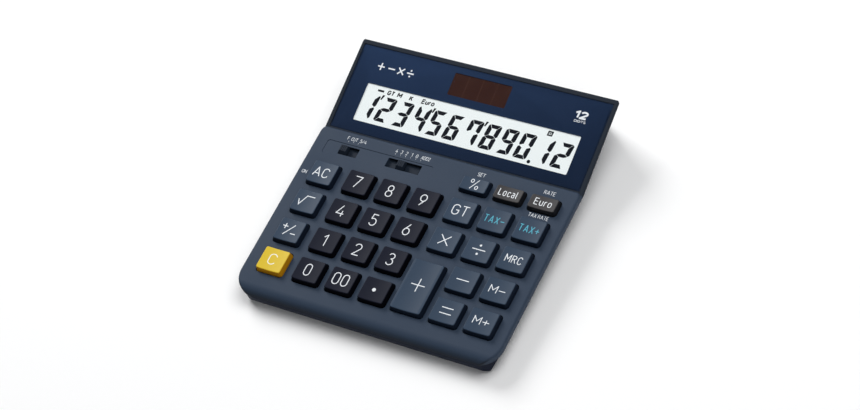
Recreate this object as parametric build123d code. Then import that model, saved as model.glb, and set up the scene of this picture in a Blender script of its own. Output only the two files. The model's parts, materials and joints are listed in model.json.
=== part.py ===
from build123d import *

import math
import os

# Desk calculator. Units are millimetres. +X is to the user's right, +Y to the back, +Z up.
# The origin is on the table, under the middle of the case.
#
# Two tilted frames carry everything: DECK is the keyboard's surface (x across, y up the slope,
# z out of the surface, with its datum at the middle key row), and DISPLAY is the steeper plane
# behind it (x across, s up the slope from the crease, z out of the plane).

# ---- overall sizes ----
WIDTH = 151.0
DEPTH = 159.0
HEIGHT = 28.5
DECK_TILT = 3.0
DISPLAY_TILT = 11.83
BASE_HEIGHT = 1.0
WALL = 2.0
LOWER_WALL = 1.8

# ---- upper housing outline, in the deck frame ----
LIP_Y = -51.0
LIP_R = 5.7
RIDGE_Y = 45.2
RIDGE_R = 2.8
CREASE_Y = 47.0
DECK_PART = 3.6
FRONT_CORNER_R = 12.0
DECK_REAR_CORNER_R = 4.5
DECK_EDGE_R = 1.2
RIM_EDGE_R = 0.6

# ---- display end of the upper housing, in the display frame ----
RIM_DROP = 2.1
RIM_END = 52.0
RIM_HALF = 74.9
RIM_CORNER_R = 1.8
RIM_FRONT = -5.0
POCKET_HALF = 73.1
POCKET_FRONT = 0.9
POCKET_BACK = 49.5
POCKET_DROP = 2.75
SHELF_DROP = 4.4
SHELF_TOP = 3.15
SHELF_HALF = 70.5
SHELF_FRONT = 2.5
SHELF_BACK = 49.0

# ---- display window, mask and what lies behind them ----
WINDOW_CLEARANCE = 0.15
WINDOW_THICK = 0.8
MASK_THICK = 0.2
MASK_DROP = 2.5
WINDOW_CHAMFER = 0.25
WINDOW_FRONT_R = 0.4
WINDOW_BACK_R = 1.2
GLASS_PLAY = 0.15
LCD_X = 0.4
LCD_S = 18.3
LCD_VIEW = (124.9, 21.4)
LCD_VIEW_R = 0.7
LCD_GLASS = (130.6, 26.4)
LCD_LEDGE = 2.6
GLASS_THICK = 1.1
SOLAR_X = 0.15
SOLAR_S = 39.6
SOLAR_VIEW = (33.5, 12.6)
SOLAR_VIEW_R = 0.6
SOLAR_GLASS = (36.6, 15.0)
OPENING_GAP = 0.4
FILM_THICK = 0.2
HOLDER_THICK = 1.6
HOLDER_HALF = 68.5
HOLDER_FRONT = 6.5
HOLDER_BACK = 48.2
HOLDER_LCD_HOLE = (112.0, 10.0)
HOLDER_SOLAR_HOLE = (20.0, 6.0)
HOLDER_NOTCH = (9.0, 12.0)
FLEX_HALF = 40.0

# ---- keys, in the deck frame: each size is across, then up the deck ----
KEY_RISE = 3.0
KEY_DRAFT = 0.65
KEY_BASE_R = 1.6
KEY_EDGE_R = 0.45
KEY_GAP = 0.4
KEY_WALL = 1.3
KEY_HOLLOW_R = 1.0
DISH_R = 75.0
DISH_DEPTH = 0.35
FLANGE_WIDTH = 1.0
FLANGE_R = 2.3
FLANGE_THICK = 1.0
FLANGE_GAP = 0.1
POST_SIZE = 5.0
POST_REACH = 3.4
LEFT_COLUMN = -59.5
DIGIT_COLUMNS = (-38.25, -18.86, 0.53)
RIGHT_COLUMNS = (21.7, 41.1, 60.6)
ROWS = (18.12, 0.0, -18.3, -36.6)
TOP_ROW = 34.4
LEFT_TOP = (14.05, 12.7)
DIGIT_TOP = (14.16, 12.62)
RIGHT_TOP = (14.6, 12.74)
SMALL_TOP = (14.7, 7.5)
PLUS_TOP = (16.85, 28.9)
PLUS_PLACE = (20.4, -28.26)

# ---- slide switches, in the deck frame ----
RECESS_X = (-68.3, -5.0)
RECESS_Y = (31.0, 39.5)
RECESS_DEPTH = 0.2
RECESS_R = 1.5
SLOT_Y = 35.5
SLOT_HEIGHT = 5.5
SLOT_R = 0.4
STEP_PITCH = 2.9
GRIP_XS = (-1.0, 0.0, 1.0)
GRIP_WIDTH = 0.35
GRIP_DEPTH = 0.2
WIPER_SIZE = (8.0, 5.0)
FINGER_TOP = 3.9
FINGER_FOOT = 1.4
FINGER_HALF = 1.0
FINGER_PLAY = 0.1
KNOB_BASE = (4.6, 4.9)
KNOB_TOP = (3.8, 3.5)
KNOB_RISE = 1.2
KNOB_SHOULDER = -0.4
KNOB_TOP_SHIFT = 0.55
SLOT_GAP = 0.3
CARRIAGE_HEIGHT = 7.6
CARRIAGE_TOP = 2.15
CARRIAGE_THICK = 0.9
# name: x of the first stop, number of stops, stop at rest, half length of the carriage
SWITCHES = {
    "rounding_switch": (-56.9, 3, 0, 8.6),
    "decimal_switch": (-28.45, 6, 2, 10.0),
}

# ---- board stack, in the deck frame ----
BOARD_TOP = -6.0
BOARD_THICK = 1.2
BOARD_HALF = 68.0
BOARD_Y = (-50.3, 46.5)
BOARD_CORNER_R = 8.0
SHEET_THICK = 0.8
SHEET_X = (-66.5, 67.5)
SHEET_Y = (-44.0, 26.2)
SHEET_TOP_X = 12.6
SHEET_TOP_Y = 40.0
BOARD_REAR_R = 2.0
BOARD_BOSS_CLEARANCE = 0.5
BOARD_SCREW_CLEARANCE = 0.25
DOME_R = (4.3, 3.1)
DOME_CAVITY_R = (3.5, 2.2)
DOME_ROOF = 0.8
PILL_R = 1.6
PILL_THICK = 0.3
CHIP_PLACE = (-20.0, 4.0)
CHIP_R = 5.5
CHIP_BULGE = 1.2
CAPACITORS = 6
CAPACITOR_SIZE = (2.0, 1.25)
CAPACITOR_HEIGHT = 0.6
CAPACITOR_START = (-6.0, 12.0)
RESISTORS = 3
RESISTOR_SIZE = (1.6, 3.2)
RESISTOR_HEIGHT = 1.2
RESISTOR_START = (-34.0, -2.0)
COMPONENT_PITCH = 5.0

# ---- fasteners ----
BOARD_SCREWS = (
    (-60.0, -48.4), (-20.0, -48.4), (20.0, -48.4), (60.0, -48.4), (-48.9, 9.1), (11.1, 9.1),
    (-62.0, 43.6), (-20.0, 43.6), (30.9, 43.6), (65.5, 43.6),
)
BOSS_R = 1.7
FRONT_BOSS_R = 2.2
SCREW_HOLE_R = 0.85
SCREW_R = 0.75
SCREW_HEAD_R = 1.6
SCREW_HEAD = 0.6
CROSS_SLOT = 0.4
BOARD_SCREW_LENGTH = 4.0
HOLDER_SCREW_LENGTH = 3.2
HOLDER_SCREWS = ((-58.0, 38.0), (58.0, 38.0), (-23.0, 44.0), (23.0, 44.0))
HOUSING_SCREWS_DECK = ((-40.0, -48.4), (40.0, -48.4), (-52.0, 43.6), (48.2, 43.6))
HOUSING_SCREWS_REAR = ((-32.0, 86.0), (32.0, 86.0))
CASE_BOSS_R = 2.75
CASE_BOSS_FOOT = 4.7
CASE_HOLE_R = 1.3
CASE_SCREW_R = 1.15
CASE_HEAD_R = 2.2
CASE_HEAD = 1.3
CASE_HEAD_SEAT = 2.6
CASE_SCREW_LENGTH = 5.6
TOWER_R = 4.2
BOSS_ROOT = 0.6
HEAD_CLEARANCE = 0.3
SHAFT_CLEARANCE = 0.1

# ---- lower housing, in the case frame unless said ----
LOWER_HALF = 74.7
LOWER_STEP = 0.3
LOWER_SLOPE = 31.0
FRONT_FOOT_R = 4.4
FRONT_LOWER_DEPTH = 17.0
REAR_LOWER_DEPTH = 40.0
REAR_CORNER_R = 3.0
FEET = ((-58.0, -60.0), (58.0, -60.0), (-47.0, 66.0), (47.0, 66.0))
FOOT_R = 4.5
FOOT_SINK = 0.6
FOOT_CLEARANCE = 0.1
FOOT_EDGE_R = 0.4
HOLLOW_LIFT = 1.0

# ---- battery, in the case frame ----
BATTERY_PLACE = (-36.0, 36.0)
BATTERY_R = 5.8
BATTERY_HEIGHT = 5.4
BATTERY_FLOOR = 3.5
BATTERY_CAP_INSET = 0.9
BATTERY_CAP_HEIGHT = 1.2
BATTERY_EDGE_R = 0.4
WELL_R = 6.3
WELL_WALL = 1.2
WELL_TOP = 9.6
COVER_SIZE = (22.0, 25.0)
COVER_R = 1.2
COVER_RIDGES = 5
COVER_RIDGE = (12.0, 0.7)
COVER_RIDGE_PITCH = 1.6
COVER_RIDGE_DEPTH = 0.35
COVER_RIDGE_INSET = 3.0
COVER_SCREW_LENGTH = 2.4
COVER_GAP = 0.2
COVER_THICK = 1.2
COVER_LEDGE = 1.2
COVER_SHIFT = 2.0
COVER_SCREW_INSET = 3.4
COVER_SCREW_SEAT = BASE_HEIGHT + 0.7
PAD_TOP = 3.8
STRIP_THICK = 0.3
STRIP_WIDTH = 5.0
STRIP_OFFSET = {"plus": -3.6, "minus": 3.6}
STRIP_LEVEL = {
    "plus": BATTERY_FLOOR + BATTERY_HEIGHT,
    "minus": BATTERY_FLOOR - STRIP_THICK,
}

# ---- label in the base ----
LABEL_PLACE = (16.0, 20.0)
LABEL_SIZE = (48.0, 22.0)
LABEL_THICK = 0.18
LABEL_SINK = 0.2
LABEL_R = 1.5
LABEL_CLEARANCE = 0.2

SIN_DECK = math.sin(math.radians(DECK_TILT))
COS_DECK = math.cos(math.radians(DECK_TILT))
SIN_DISPLAY = math.sin(math.radians(DISPLAY_TILT))
COS_DISPLAY = math.cos(math.radians(DISPLAY_TILT))


def display_in_deck(s, z):
    """A side point of the display frame, as (y, z) in the deck frame."""
    return (CREASE_Y + s * COS_DISPLAY - z * SIN_DISPLAY, s * SIN_DISPLAY + z * COS_DISPLAY)


# The front of the lip touches -DEPTH / 2, and the rim's rounded rear edge touches HEIGHT.
LIP_START = math.asin((LIP_R - DECK_PART) / LIP_R)
LIP_FRONT = LIP_Y - LIP_R * math.cos(LIP_START)
DECK_ORIGIN_Y = -DEPTH / 2 - LIP_FRONT * COS_DECK - DECK_PART * SIN_DECK
RIM_TOP = display_in_deck(RIM_END - RIM_EDGE_R, -RIM_DROP - RIM_EDGE_R)
DECK_ORIGIN_Z = HEIGHT - RIM_EDGE_R - RIM_TOP[0] * SIN_DECK - RIM_TOP[1] * COS_DECK

DECK = Location((0, DECK_ORIGIN_Y, DECK_ORIGIN_Z), (DECK_TILT, 0, 0))
DISPLAY = DECK * Location((0, CREASE_Y, 0), (DISPLAY_TILT, 0, 0))
SIDE = Plane(origin=(0, 0, 0), x_dir=(0, 1, 0), z_dir=(1, 0, 0))


def deck_in_case(y, z):
    """A side point of the deck frame, as (Y, Z) in the case frame."""
    case_y = DECK_ORIGIN_Y + y * COS_DECK - z * SIN_DECK
    case_z = DECK_ORIGIN_Z + y * SIN_DECK + z * COS_DECK
    return (case_y, case_z)


def display_in_case(s, z):
    """A side point of the display frame, as (Y, Z) in the case frame."""
    return deck_in_case(*display_in_deck(s, z))


def across(edges, half_width):
    """A closed side outline carried across the case, half_width to each side."""
    face = make_face([edge for line in edges for edge in line.edges()])
    return extrude(SIDE * face, amount=half_width, both=True)


def block(x_range, y_range, z_range):
    """A box from its three ranges."""
    size = [high - low for low, high in (x_range, y_range, z_range)]
    middle = [(high + low) / 2 for low, high in (x_range, y_range, z_range)]
    return Pos(*middle) * Box(*size)


def centred_block(centre, size, z_range):
    """A box of size (x, y) about centre (x, y), between two heights."""
    x_range = (centre[0] - size[0] / 2, centre[0] + size[0] / 2)
    y_range = (centre[1] - size[1] / 2, centre[1] + size[1] / 2)
    return block(x_range, y_range, z_range)


def rod(centre, radius, z_range):
    """A round rod on (x, y), between two heights."""
    height = z_range[1] - z_range[0]
    return Pos(centre[0], centre[1], (z_range[0] + z_range[1]) / 2) * Cylinder(radius, height)


def plan(half_width, y_range, front_radius, back_radius):
    """A plan outline with its own corner radius at the front and at the back."""
    length = y_range[1] - y_range[0]
    outline = Pos(0, (y_range[0] + y_range[1]) / 2) * Rectangle(2 * half_width, length)
    if front_radius > 0:
        outline = fillet(outline.vertices().group_by(Axis.Y)[0], front_radius)
    if back_radius > 0:
        outline = fillet(outline.vertices().group_by(Axis.Y)[-1], back_radius)
    return outline


def rounded_block(centre, size, z_range, radius):
    """A box about centre (x, y) with rounded upright edges."""
    outline = fillet(Rectangle(*size).vertices(), radius)
    return Pos(centre[0], centre[1], z_range[0]) * extrude(outline, amount=z_range[1] - z_range[0])


def part_crease():
    """Where the two parting planes meet, as (y, z) in the deck frame."""
    return (CREASE_Y + DECK_PART * math.tan(math.radians(DISPLAY_TILT / 2)), -DECK_PART)


# ---- keys ----

def key_table():
    """Every key's name with its centre and the size of its top face."""
    keys = {}
    for name, row in zip(("key_ac", "key_root", "key_sign", "key_c"), ROWS):
        keys[name] = ((LEFT_COLUMN, row), LEFT_TOP)
    digits = (("7", "8", "9"), ("4", "5", "6"), ("1", "2", "3"), ("0", "00", "point"))
    for names, row in zip(digits, ROWS):
        for name, column in zip(names, DIGIT_COLUMNS):
            keys["key_" + name] = ((column, row), DIGIT_TOP)
    for name, column in zip(("key_percent", "key_local", "key_euro"), RIGHT_COLUMNS):
        keys[name] = ((column, TOP_ROW), SMALL_TOP)
    functions = (
        ("gt", "tax_minus", "tax_plus"),
        ("times", "divide", "mrc"),
        (None, "minus", "m_minus"),
        (None, "equals", "m_plus"),
    )
    for names, row in zip(functions, ROWS):
        for name, column in zip(names, RIGHT_COLUMNS):
            if name is not None:
                keys["key_" + name] = ((column, row), RIGHT_TOP)
    keys["key_plus"] = (PLUS_PLACE, PLUS_TOP)
    return keys


KEYS = key_table()


def key_base(top):
    """The size of a key where it meets the deck."""
    return (top[0] + 2 * KEY_DRAFT, top[1] + 2 * KEY_DRAFT)


def key_cap(centre, top):
    """A hollow cap with a dished top, a retaining flange and a post that presses the dome."""
    base = key_base(top)
    draft = math.degrees(math.atan(KEY_DRAFT / KEY_RISE))
    outline = fillet(Rectangle(*base).vertices(), KEY_BASE_R)
    crown = extrude(outline, amount=KEY_RISE, taper=draft)
    dish_centre = KEY_RISE - DISH_DEPTH + DISH_R
    crown -= Pos(0, 0, dish_centre) * Rot(90, 0, 0) * Cylinder(DISH_R, 2 * base[1])
    dish = crown.faces().filter_by(GeomType.PLANE, reverse=True).sort_by(Axis.Z)[-1]
    crown = fillet(dish.edges(), KEY_EDGE_R)
    flange_top = -WALL - FLANGE_GAP
    flange_foot = flange_top - FLANGE_THICK
    skirt = extrude(outline, amount=flange_top)
    flange_size = (base[0] + 2 * FLANGE_WIDTH, base[1] + 2 * FLANGE_WIDTH)
    flange = rounded_block((0, 0), flange_size, (flange_foot, flange_top), FLANGE_R)
    hollow_size = (top[0] - 2 * KEY_WALL, top[1] - 2 * KEY_WALL)
    hollow = rounded_block((0, 0), hollow_size, (flange_foot, KEY_RISE / 2), KEY_HOLLOW_R)
    cap = crown + skirt + flange - hollow
    for offset in dome_offsets(top):
        cap += centred_block(offset, (POST_SIZE, POST_SIZE / 2), (-POST_REACH, KEY_RISE / 2))
    return DECK * Pos(centre[0], centre[1], 0) * cap


def dome_offsets(top):
    """Where the domes stand under a key, from its centre: one, or two under a tall key."""
    if top[1] > top[0]:
        half_row = (ROWS[1] - ROWS[2]) / 2
        return ((0, -half_row), (0, half_row))
    return ((0, 0),)


# ---- slide switches ----

def switch_centres(switch):
    """A switch's knob at rest, and its two end stops."""
    first, stops, rest, carriage = SWITCHES[switch]
    return first + rest * STEP_PITCH, first, first + (stops - 1) * STEP_PITCH


def switch_knob(switch):
    """A wedge-shaped knob on a carriage that runs under the deck."""
    rest = switch_centres(switch)[0]
    carriage_half = SWITCHES[switch][3]
    shoulder = Plane.XY.offset(KNOB_SHOULDER) * Rectangle(*KNOB_BASE)
    crest = Plane.XY.offset(KNOB_RISE) * Pos(0, KNOB_TOP_SHIFT) * Rectangle(*KNOB_TOP)
    knob = loft([shoulder.face(), crest.face()])
    knob += centred_block((0, 0), KNOB_BASE, (-CARRIAGE_TOP, KNOB_SHOULDER))
    groove = (GRIP_WIDTH, KNOB_TOP[1])
    for x in GRIP_XS:
        knob -= centred_block((x, KNOB_TOP_SHIFT), groove, (KNOB_RISE - GRIP_DEPTH, KNOB_RISE))
    carriage_size = (2 * carriage_half, CARRIAGE_HEIGHT)
    carriage_range = (-CARRIAGE_TOP - CARRIAGE_THICK, -CARRIAGE_TOP)
    knob += centred_block((0, 0), carriage_size, carriage_range)
    return DECK * Pos(rest, SLOT_Y, 0) * knob


def switch_wiper(switch):
    """A sprung contact under the carriage, with a finger at each end that bears on the board."""
    rest = switch_centres(switch)[0]
    plate_top = -CARRIAGE_TOP - CARRIAGE_THICK
    plate_foot = plate_top - STRIP_THICK
    wiper = centred_block((0, 0), WIPER_SIZE, (plate_foot, plate_top))
    for side in (-1, 1):
        finger_top = (side * FINGER_TOP, plate_foot)
        finger_foot = (side * FINGER_FOOT, BOARD_TOP + FINGER_PLAY)
        slope = Polyline(
            (finger_top[0], finger_top[1]),
            (finger_foot[0], finger_foot[1]),
            (finger_foot[0] - side * STRIP_THICK, finger_foot[1]),
            (finger_top[0] - side * STRIP_THICK, finger_top[1]),
            close=True,
        )
        finger = extrude(Plane.XZ * make_face(slope.edges()), amount=FINGER_HALF, both=True)
        wiper += finger
    return DECK * Pos(rest, SLOT_Y, 0) * wiper


# ---- upper housing ----

def deck_shell(inset, foot):
    """The deck's outer body, or its hollow when inset is the wall's thickness."""
    lip = LIP_R - inset
    ridge = RIDGE_R - inset
    start_rise = math.asin((LIP_R - foot) / lip)
    start = (LIP_Y - lip * math.cos(start_rise), -foot)
    halfway = (start_rise + math.pi / 2) / 2
    middle = (LIP_Y - lip * math.cos(halfway), -LIP_R + lip * math.sin(halfway))
    ridge_half = math.sqrt(0.5) * ridge
    edges = [
        ThreePointArc(start, middle, (LIP_Y, -inset)),
        Line((LIP_Y, -inset), (RIDGE_Y, -inset)),
        ThreePointArc(
            (RIDGE_Y, -inset),
            (RIDGE_Y + ridge_half, -RIDGE_R + ridge_half),
            (RIDGE_Y + ridge, -RIDGE_R),
        ),
        Polyline((RIDGE_Y + ridge, -RIDGE_R), (part_crease()[0], -foot), start),
    ]
    body = across(edges, WIDTH)
    y_range = (LIP_Y - lip, RIDGE_Y + ridge)
    corner = FRONT_CORNER_R - inset
    outline = plan(WIDTH / 2 - inset, y_range, corner, max(DECK_REAR_CORNER_R - inset, 0.5))
    return body & (Pos(0, 0, -HEIGHT) * extrude(outline, amount=2 * HEIGHT))


def display_slab():
    """The display end of the upper housing before its pocket is cut, in the deck frame."""
    crease = part_crease()
    front = display_in_deck(RIM_FRONT, -RIM_DROP)
    rear_foot = display_in_deck(RIM_END, -DECK_PART)
    rear_top = display_in_deck(RIM_END, -RIM_DROP)
    slab = across(
        [Polyline((front[0], -DECK_PART), crease, rear_foot, rear_top, front, close=True)],
        WIDTH,
    )
    outline = make_face(
        Polyline(
            (-WIDTH / 2, front[0]),
            (WIDTH / 2, front[0]),
            (WIDTH / 2, CREASE_Y),
            (RIM_HALF, rear_top[0] + 0.5),
            (-RIM_HALF, rear_top[0] + 0.5),
            (-WIDTH / 2, CREASE_Y),
            close=True,
        ).edges()
    )
    corners = outline.vertices().group_by(Axis.Y)[-1]
    outline = fillet(corners, RIM_CORNER_R)
    return slab & (Pos(0, 0, -HEIGHT) * extrude(outline, amount=2 * HEIGHT))


def display_frame_block(x_half, s_range, z_range, centre_x=0.0):
    """A box in the display frame, returned in the case frame."""
    x_range = (centre_x - x_half, centre_x + x_half)
    return DISPLAY * block(x_range, s_range, z_range)


def glass_opening(centre, size, z_range):
    """The hole in the shelf for a piece of glass, with a gap round it."""
    hole = (size[0] + 2 * OPENING_GAP, size[1] + 2 * OPENING_GAP)
    return DISPLAY * centred_block(centre, hole, z_range)


def case_points(deck_points, rear_points):
    """Housing screw places in the case frame: some are set out on the deck, some on the case."""
    places = [(x, deck_in_case(y, 0)[0]) for x, y in deck_points]
    rear = [(x, display_in_case((y - CREASE_Y) / COS_DISPLAY, 0)[0]) for x, y in rear_points]
    return places + rear


CASE_SCREWS = case_points(HOUSING_SCREWS_DECK, HOUSING_SCREWS_REAR)


def sloping_edges(deck):
    """The deck's top outline: its sides, its corners and the ends of the lip and the ridge."""
    edges = []
    for edge in deck.edges():
        along = edge.tangent_at(0.5)
        straight = edge.geom_type == GeomType.LINE and max(abs(along.X), abs(along.Z)) > 0.9
        if not straight and edge.center().Z > 0.05 - DECK_PART:
            edges.append(edge)
    return edges


def rim_edges(slab):
    """The outer edges of the rim's top face, all but its front one."""
    normal = Vector(0, -SIN_DISPLAY, COS_DISPLAY)
    faces = slab.faces().filter_by(GeomType.PLANE)
    top = [face for face in faces if (face.normal_at() - normal).length < 0.001][0]
    front_y = top.bounding_box().min.Y
    return [edge for edge in top.edges() if edge.center().Y > front_y + 0.01]


def upper_housing():
    """Deck, lip, ridge, display rim and shelf, with key holes, slots and screw bosses."""
    deck = deck_shell(0, DECK_PART)
    slab = display_slab()
    deck = fillet(sloping_edges(deck), DECK_EDGE_R)
    slab = fillet(rim_edges(slab), RIM_EDGE_R)
    hollow = deck_shell(WALL, DECK_PART) & block(
        (-WIDTH, WIDTH), (-DEPTH, RIDGE_Y + RIDGE_R), (-DECK_PART - 1, 0)
    )
    shell = deck + slab - hollow
    body = DECK * shell
    body -= display_frame_block(
        POCKET_HALF, (POCKET_FRONT, POCKET_BACK), (-POCKET_DROP, 0)
    )
    body += display_frame_block(
        SHELF_HALF, (SHELF_FRONT, SHELF_BACK), (-SHELF_DROP, -SHELF_TOP)
    )
    glass_depth = (-SHELF_DROP - 1, 0)
    body -= glass_opening((LCD_X, LCD_S), LCD_GLASS, glass_depth)
    body -= glass_opening((SOLAR_X, SOLAR_S), SOLAR_GLASS, glass_depth)
    holes = []
    for centre, top in KEYS.values():
        base = key_base(top)
        hole = (base[0] + 2 * KEY_GAP, base[1] + 2 * KEY_GAP)
        holes.append(DECK * rounded_block(centre, hole, (-WALL - 1, 1), KEY_BASE_R + KEY_GAP))
    recess_centre = (sum(RECESS_X) / 2, sum(RECESS_Y) / 2)
    recess_size = (RECESS_X[1] - RECESS_X[0], RECESS_Y[1] - RECESS_Y[0])
    holes.append(DECK * rounded_block(recess_centre, recess_size, (-RECESS_DEPTH, 1), RECESS_R))
    for switch in SWITCHES:
        rest, low, high = switch_centres(switch)
        slot = (high - low + KNOB_BASE[0] + 2 * SLOT_GAP, SLOT_HEIGHT)
        centre = ((low + high) / 2, SLOT_Y)
        holes.append(DECK * rounded_block(centre, slot, (-WALL - 1, 1), SLOT_R))
    bosses, drills = upper_bosses()
    return body - holes + bosses - drills


def upper_bosses():
    """Screw bosses under the deck and the shelf, and the holes drilled into them."""
    bosses = []
    drills = []
    for x, y in BOARD_SCREWS:
        radius = FRONT_BOSS_R if y < LIP_Y / 2 else BOSS_R
        bosses.append(DECK * rod((x, y), radius, (BOARD_TOP, -WALL / 2)))
        drills.append(DECK * rod((x, y), SCREW_HOLE_R, (BOARD_TOP, -WALL)))
    for x, s in HOLDER_SCREWS:
        bosses.append(DISPLAY * rod((x, s), BOSS_R, (holder_top(), -SHELF_TOP - 0.1)))
        drills.append(DISPLAY * rod((x, s), SCREW_HOLE_R, (holder_top(), -SHELF_TOP - 0.2)))
    for x, y in CASE_SCREWS:
        ceiling = ceiling_height(y)
        bosses.append(rod((x, y), CASE_BOSS_R, (CASE_BOSS_FOOT, ceiling + BOSS_ROOT)))
        drills.append(rod((x, y), CASE_HOLE_R, (CASE_BOSS_FOOT, ceiling - BOSS_ROOT)))
    return bosses, drills


def ceiling_height(case_y):
    """The underside of the deck or of the display shelf above a place, in the case frame."""
    crease_y = deck_in_case(CREASE_Y, 0)[0]
    if case_y < crease_y:
        return deck_in_case((case_y - DECK_ORIGIN_Y) / COS_DECK, -WALL)[1]
    along = (case_y - crease_y) / math.cos(math.radians(DECK_TILT + DISPLAY_TILT))
    return display_in_case(along, -SHELF_DROP)[1]


# ---- lower housing ----

def lower_body(inset, lift):
    """The lower housing's outer body, or its hollow. lift raises the top past the parting."""
    slope = math.radians(LOWER_SLOPE)
    half = LOWER_HALF - inset / math.cos(slope) + lift * math.tan(slope)
    lip = LIP_R - LOWER_STEP - inset
    reach = 2 * HEIGHT
    front_plan = plan(half, (-DEPTH, CREASE_Y + reach), 0, 0)
    front = extrude(front_plan, amount=-FRONT_LOWER_DEPTH, taper=LOWER_SLOPE)
    front = Pos(0, 0, lift - DECK_PART) * front
    rear_plan = plan(half, (-reach, RIM_END + reach), 0, 0)
    rear = extrude(rear_plan, amount=-REAR_LOWER_DEPTH, taper=LOWER_SLOPE)
    rear = DISPLAY * Pos(0, 0, lift - DECK_PART) * rear
    crease = part_crease()
    bisector = Location((0, crease[0], crease[1]), (DISPLAY_TILT / 2, 0, 0))
    ahead = DECK * bisector * block((-WIDTH, WIDTH), (-DEPTH, 0), (-DEPTH, DEPTH))
    behind = DECK * bisector * block((-WIDTH, WIDTH), (0, DEPTH), (-DEPTH, DEPTH))
    body = (DECK * front & ahead) + (rear & behind)
    corner = FRONT_CORNER_R - LOWER_STEP - inset
    outline = plan(LOWER_HALF - inset, (LIP_Y - lip, DEPTH), corner, 0)
    upright = DECK * Pos(0, 0, -HEIGHT) * extrude(outline, amount=2 * HEIGHT)
    return body & upright & lower_side(lip, inset, lift)


def lower_side(lip, inset, lift):
    """The side outline of the lower housing, carried across."""
    floor = BASE_HEIGHT + inset
    rise = math.asin((LIP_R - DECK_PART + lift) / lip)
    start = deck_in_case(LIP_Y - lip * math.cos(rise), lift - DECK_PART)
    centre = deck_in_case(LIP_Y, -LIP_R)
    middle = deck_in_case(LIP_Y - lip * math.cos(rise / 2), lip * math.sin(rise / 2) - LIP_R)
    nose_y = centre[0] - lip
    foot_r = FRONT_FOOT_R - inset
    foot_start = (nose_y, floor + foot_r)
    foot_inset = foot_r * (1 - math.sqrt(0.5))
    foot_middle = (nose_y + foot_inset, floor + foot_inset)
    foot = (nose_y + foot_r, floor)
    rear_foot = (DEPTH / 2 - inset, floor)
    rear_top = display_in_case(RIM_END - LOWER_STEP - inset, lift - DECK_PART)
    crease = deck_in_case(part_crease()[0], lift - DECK_PART)
    edges = [
        ThreePointArc(start, middle, (nose_y, centre[1])),
        Line((nose_y, centre[1]), foot_start),
        ThreePointArc(foot_start, foot_middle, foot),
        Polyline(foot, rear_foot, rear_top, crease, start),
    ]
    return across(edges, WIDTH)


def lower_housing():
    """A tray with sloping sides, screw towers, battery well and foot pockets."""
    outer = lower_body(0, 0)
    rear_corners = [
        edge
        for edge in outer.edges()
        if edge.center().Y > DEPTH / 2 - 8 and edge.length > 15
        and abs(edge.tangent_at(0.5).X) < 0.9
    ]
    outer = fillet(rear_corners, REAR_CORNER_R)
    body = outer - lower_body(LOWER_WALL, HOLLOW_LIFT)
    floor = BASE_HEIGHT + LOWER_WALL
    towers = [rod(place, TOWER_R, (BASE_HEIGHT, CASE_BOSS_FOOT - SHAFT_CLEARANCE)) for place in CASE_SCREWS]
    body += (Part() + towers) & outer
    body += rod(BATTERY_PLACE, WELL_R + WELL_WALL, (floor - 0.5, WELL_TOP))
    pad_size = (COVER_SIZE[0] + 2 * COVER_LEDGE, COVER_SIZE[1] + 2 * COVER_LEDGE)
    body += centred_block(cover_centre(), pad_size, (floor - 0.5, PAD_TOP))
    body -= battery_hollow()
    for x, y in CASE_SCREWS:
        body -= rod((x, y), CASE_HOLE_R + SHAFT_CLEARANCE, (BASE_HEIGHT - 1, CASE_BOSS_FOOT + 1))
        body -= rod((x, y), CASE_HEAD_R + HEAD_CLEARANCE, (BASE_HEIGHT - 1, CASE_HEAD_SEAT))
    for place in FEET:
        body -= rod(place, FOOT_R + FOOT_CLEARANCE, (BASE_HEIGHT - 1, BASE_HEIGHT + FOOT_SINK))
    label_size = (LABEL_SIZE[0] + 2 * LABEL_CLEARANCE, LABEL_SIZE[1] + 2 * LABEL_CLEARANCE)
    body -= centred_block(LABEL_PLACE, label_size, (BASE_HEIGHT - 1, BASE_HEIGHT + LABEL_SINK))
    return body


def battery_hollow():
    """What the battery, its cover and its contact strips take out of the tray."""
    top = BASE_HEIGHT + COVER_THICK
    hole = (COVER_SIZE[0] + 2 * COVER_GAP, COVER_SIZE[1] + 2 * COVER_GAP)
    hollow = rod(BATTERY_PLACE, WELL_R, (0, WELL_TOP + 1))
    hollow += centred_block(cover_centre(), hole, (0, top))
    hollow += rod(battery_screw_place(), SCREW_HOLE_R, (0, PAD_TOP + 1))
    for pole in STRIP_OFFSET:
        hollow += strip_slot(pole)
    return hollow


def cover_centre():
    """The middle of the battery cover; its screw end reaches past the battery."""
    return (BATTERY_PLACE[0], BATTERY_PLACE[1] - COVER_SHIFT)


def battery_screw_place():
    """The screw that holds the battery cover."""
    centre = cover_centre()
    return (centre[0], centre[1] - COVER_SIZE[1] / 2 + COVER_SCREW_INSET)


# ---- battery and its contacts ----

def board_underside(case_y):
    """The height of the board's underside above a place, in the case frame."""
    along = (case_y - DECK_ORIGIN_Y) / COS_DECK
    return deck_in_case(along, BOARD_TOP - BOARD_THICK)[1]


STRIP_END_Y = deck_in_case(BOARD_Y[1] - 4.0, 0)[0]


def contact_strip(pole):
    """A strip that lies on one face of the battery and rises to the board's underside."""
    x = BATTERY_PLACE[0] + STRIP_OFFSET[pole]
    x_range = (x - STRIP_WIDTH / 2, x + STRIP_WIDTH / 2)
    level = STRIP_LEVEL[pole]
    far_y = BATTERY_PLACE[1] + 2.0
    flat = block(x_range, (STRIP_END_Y, far_y), (level, level + STRIP_THICK))
    top = board_underside(STRIP_END_Y) - 0.05
    riser = block(x_range, (STRIP_END_Y, STRIP_END_Y + STRIP_THICK), (level, top))
    return flat + riser


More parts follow.
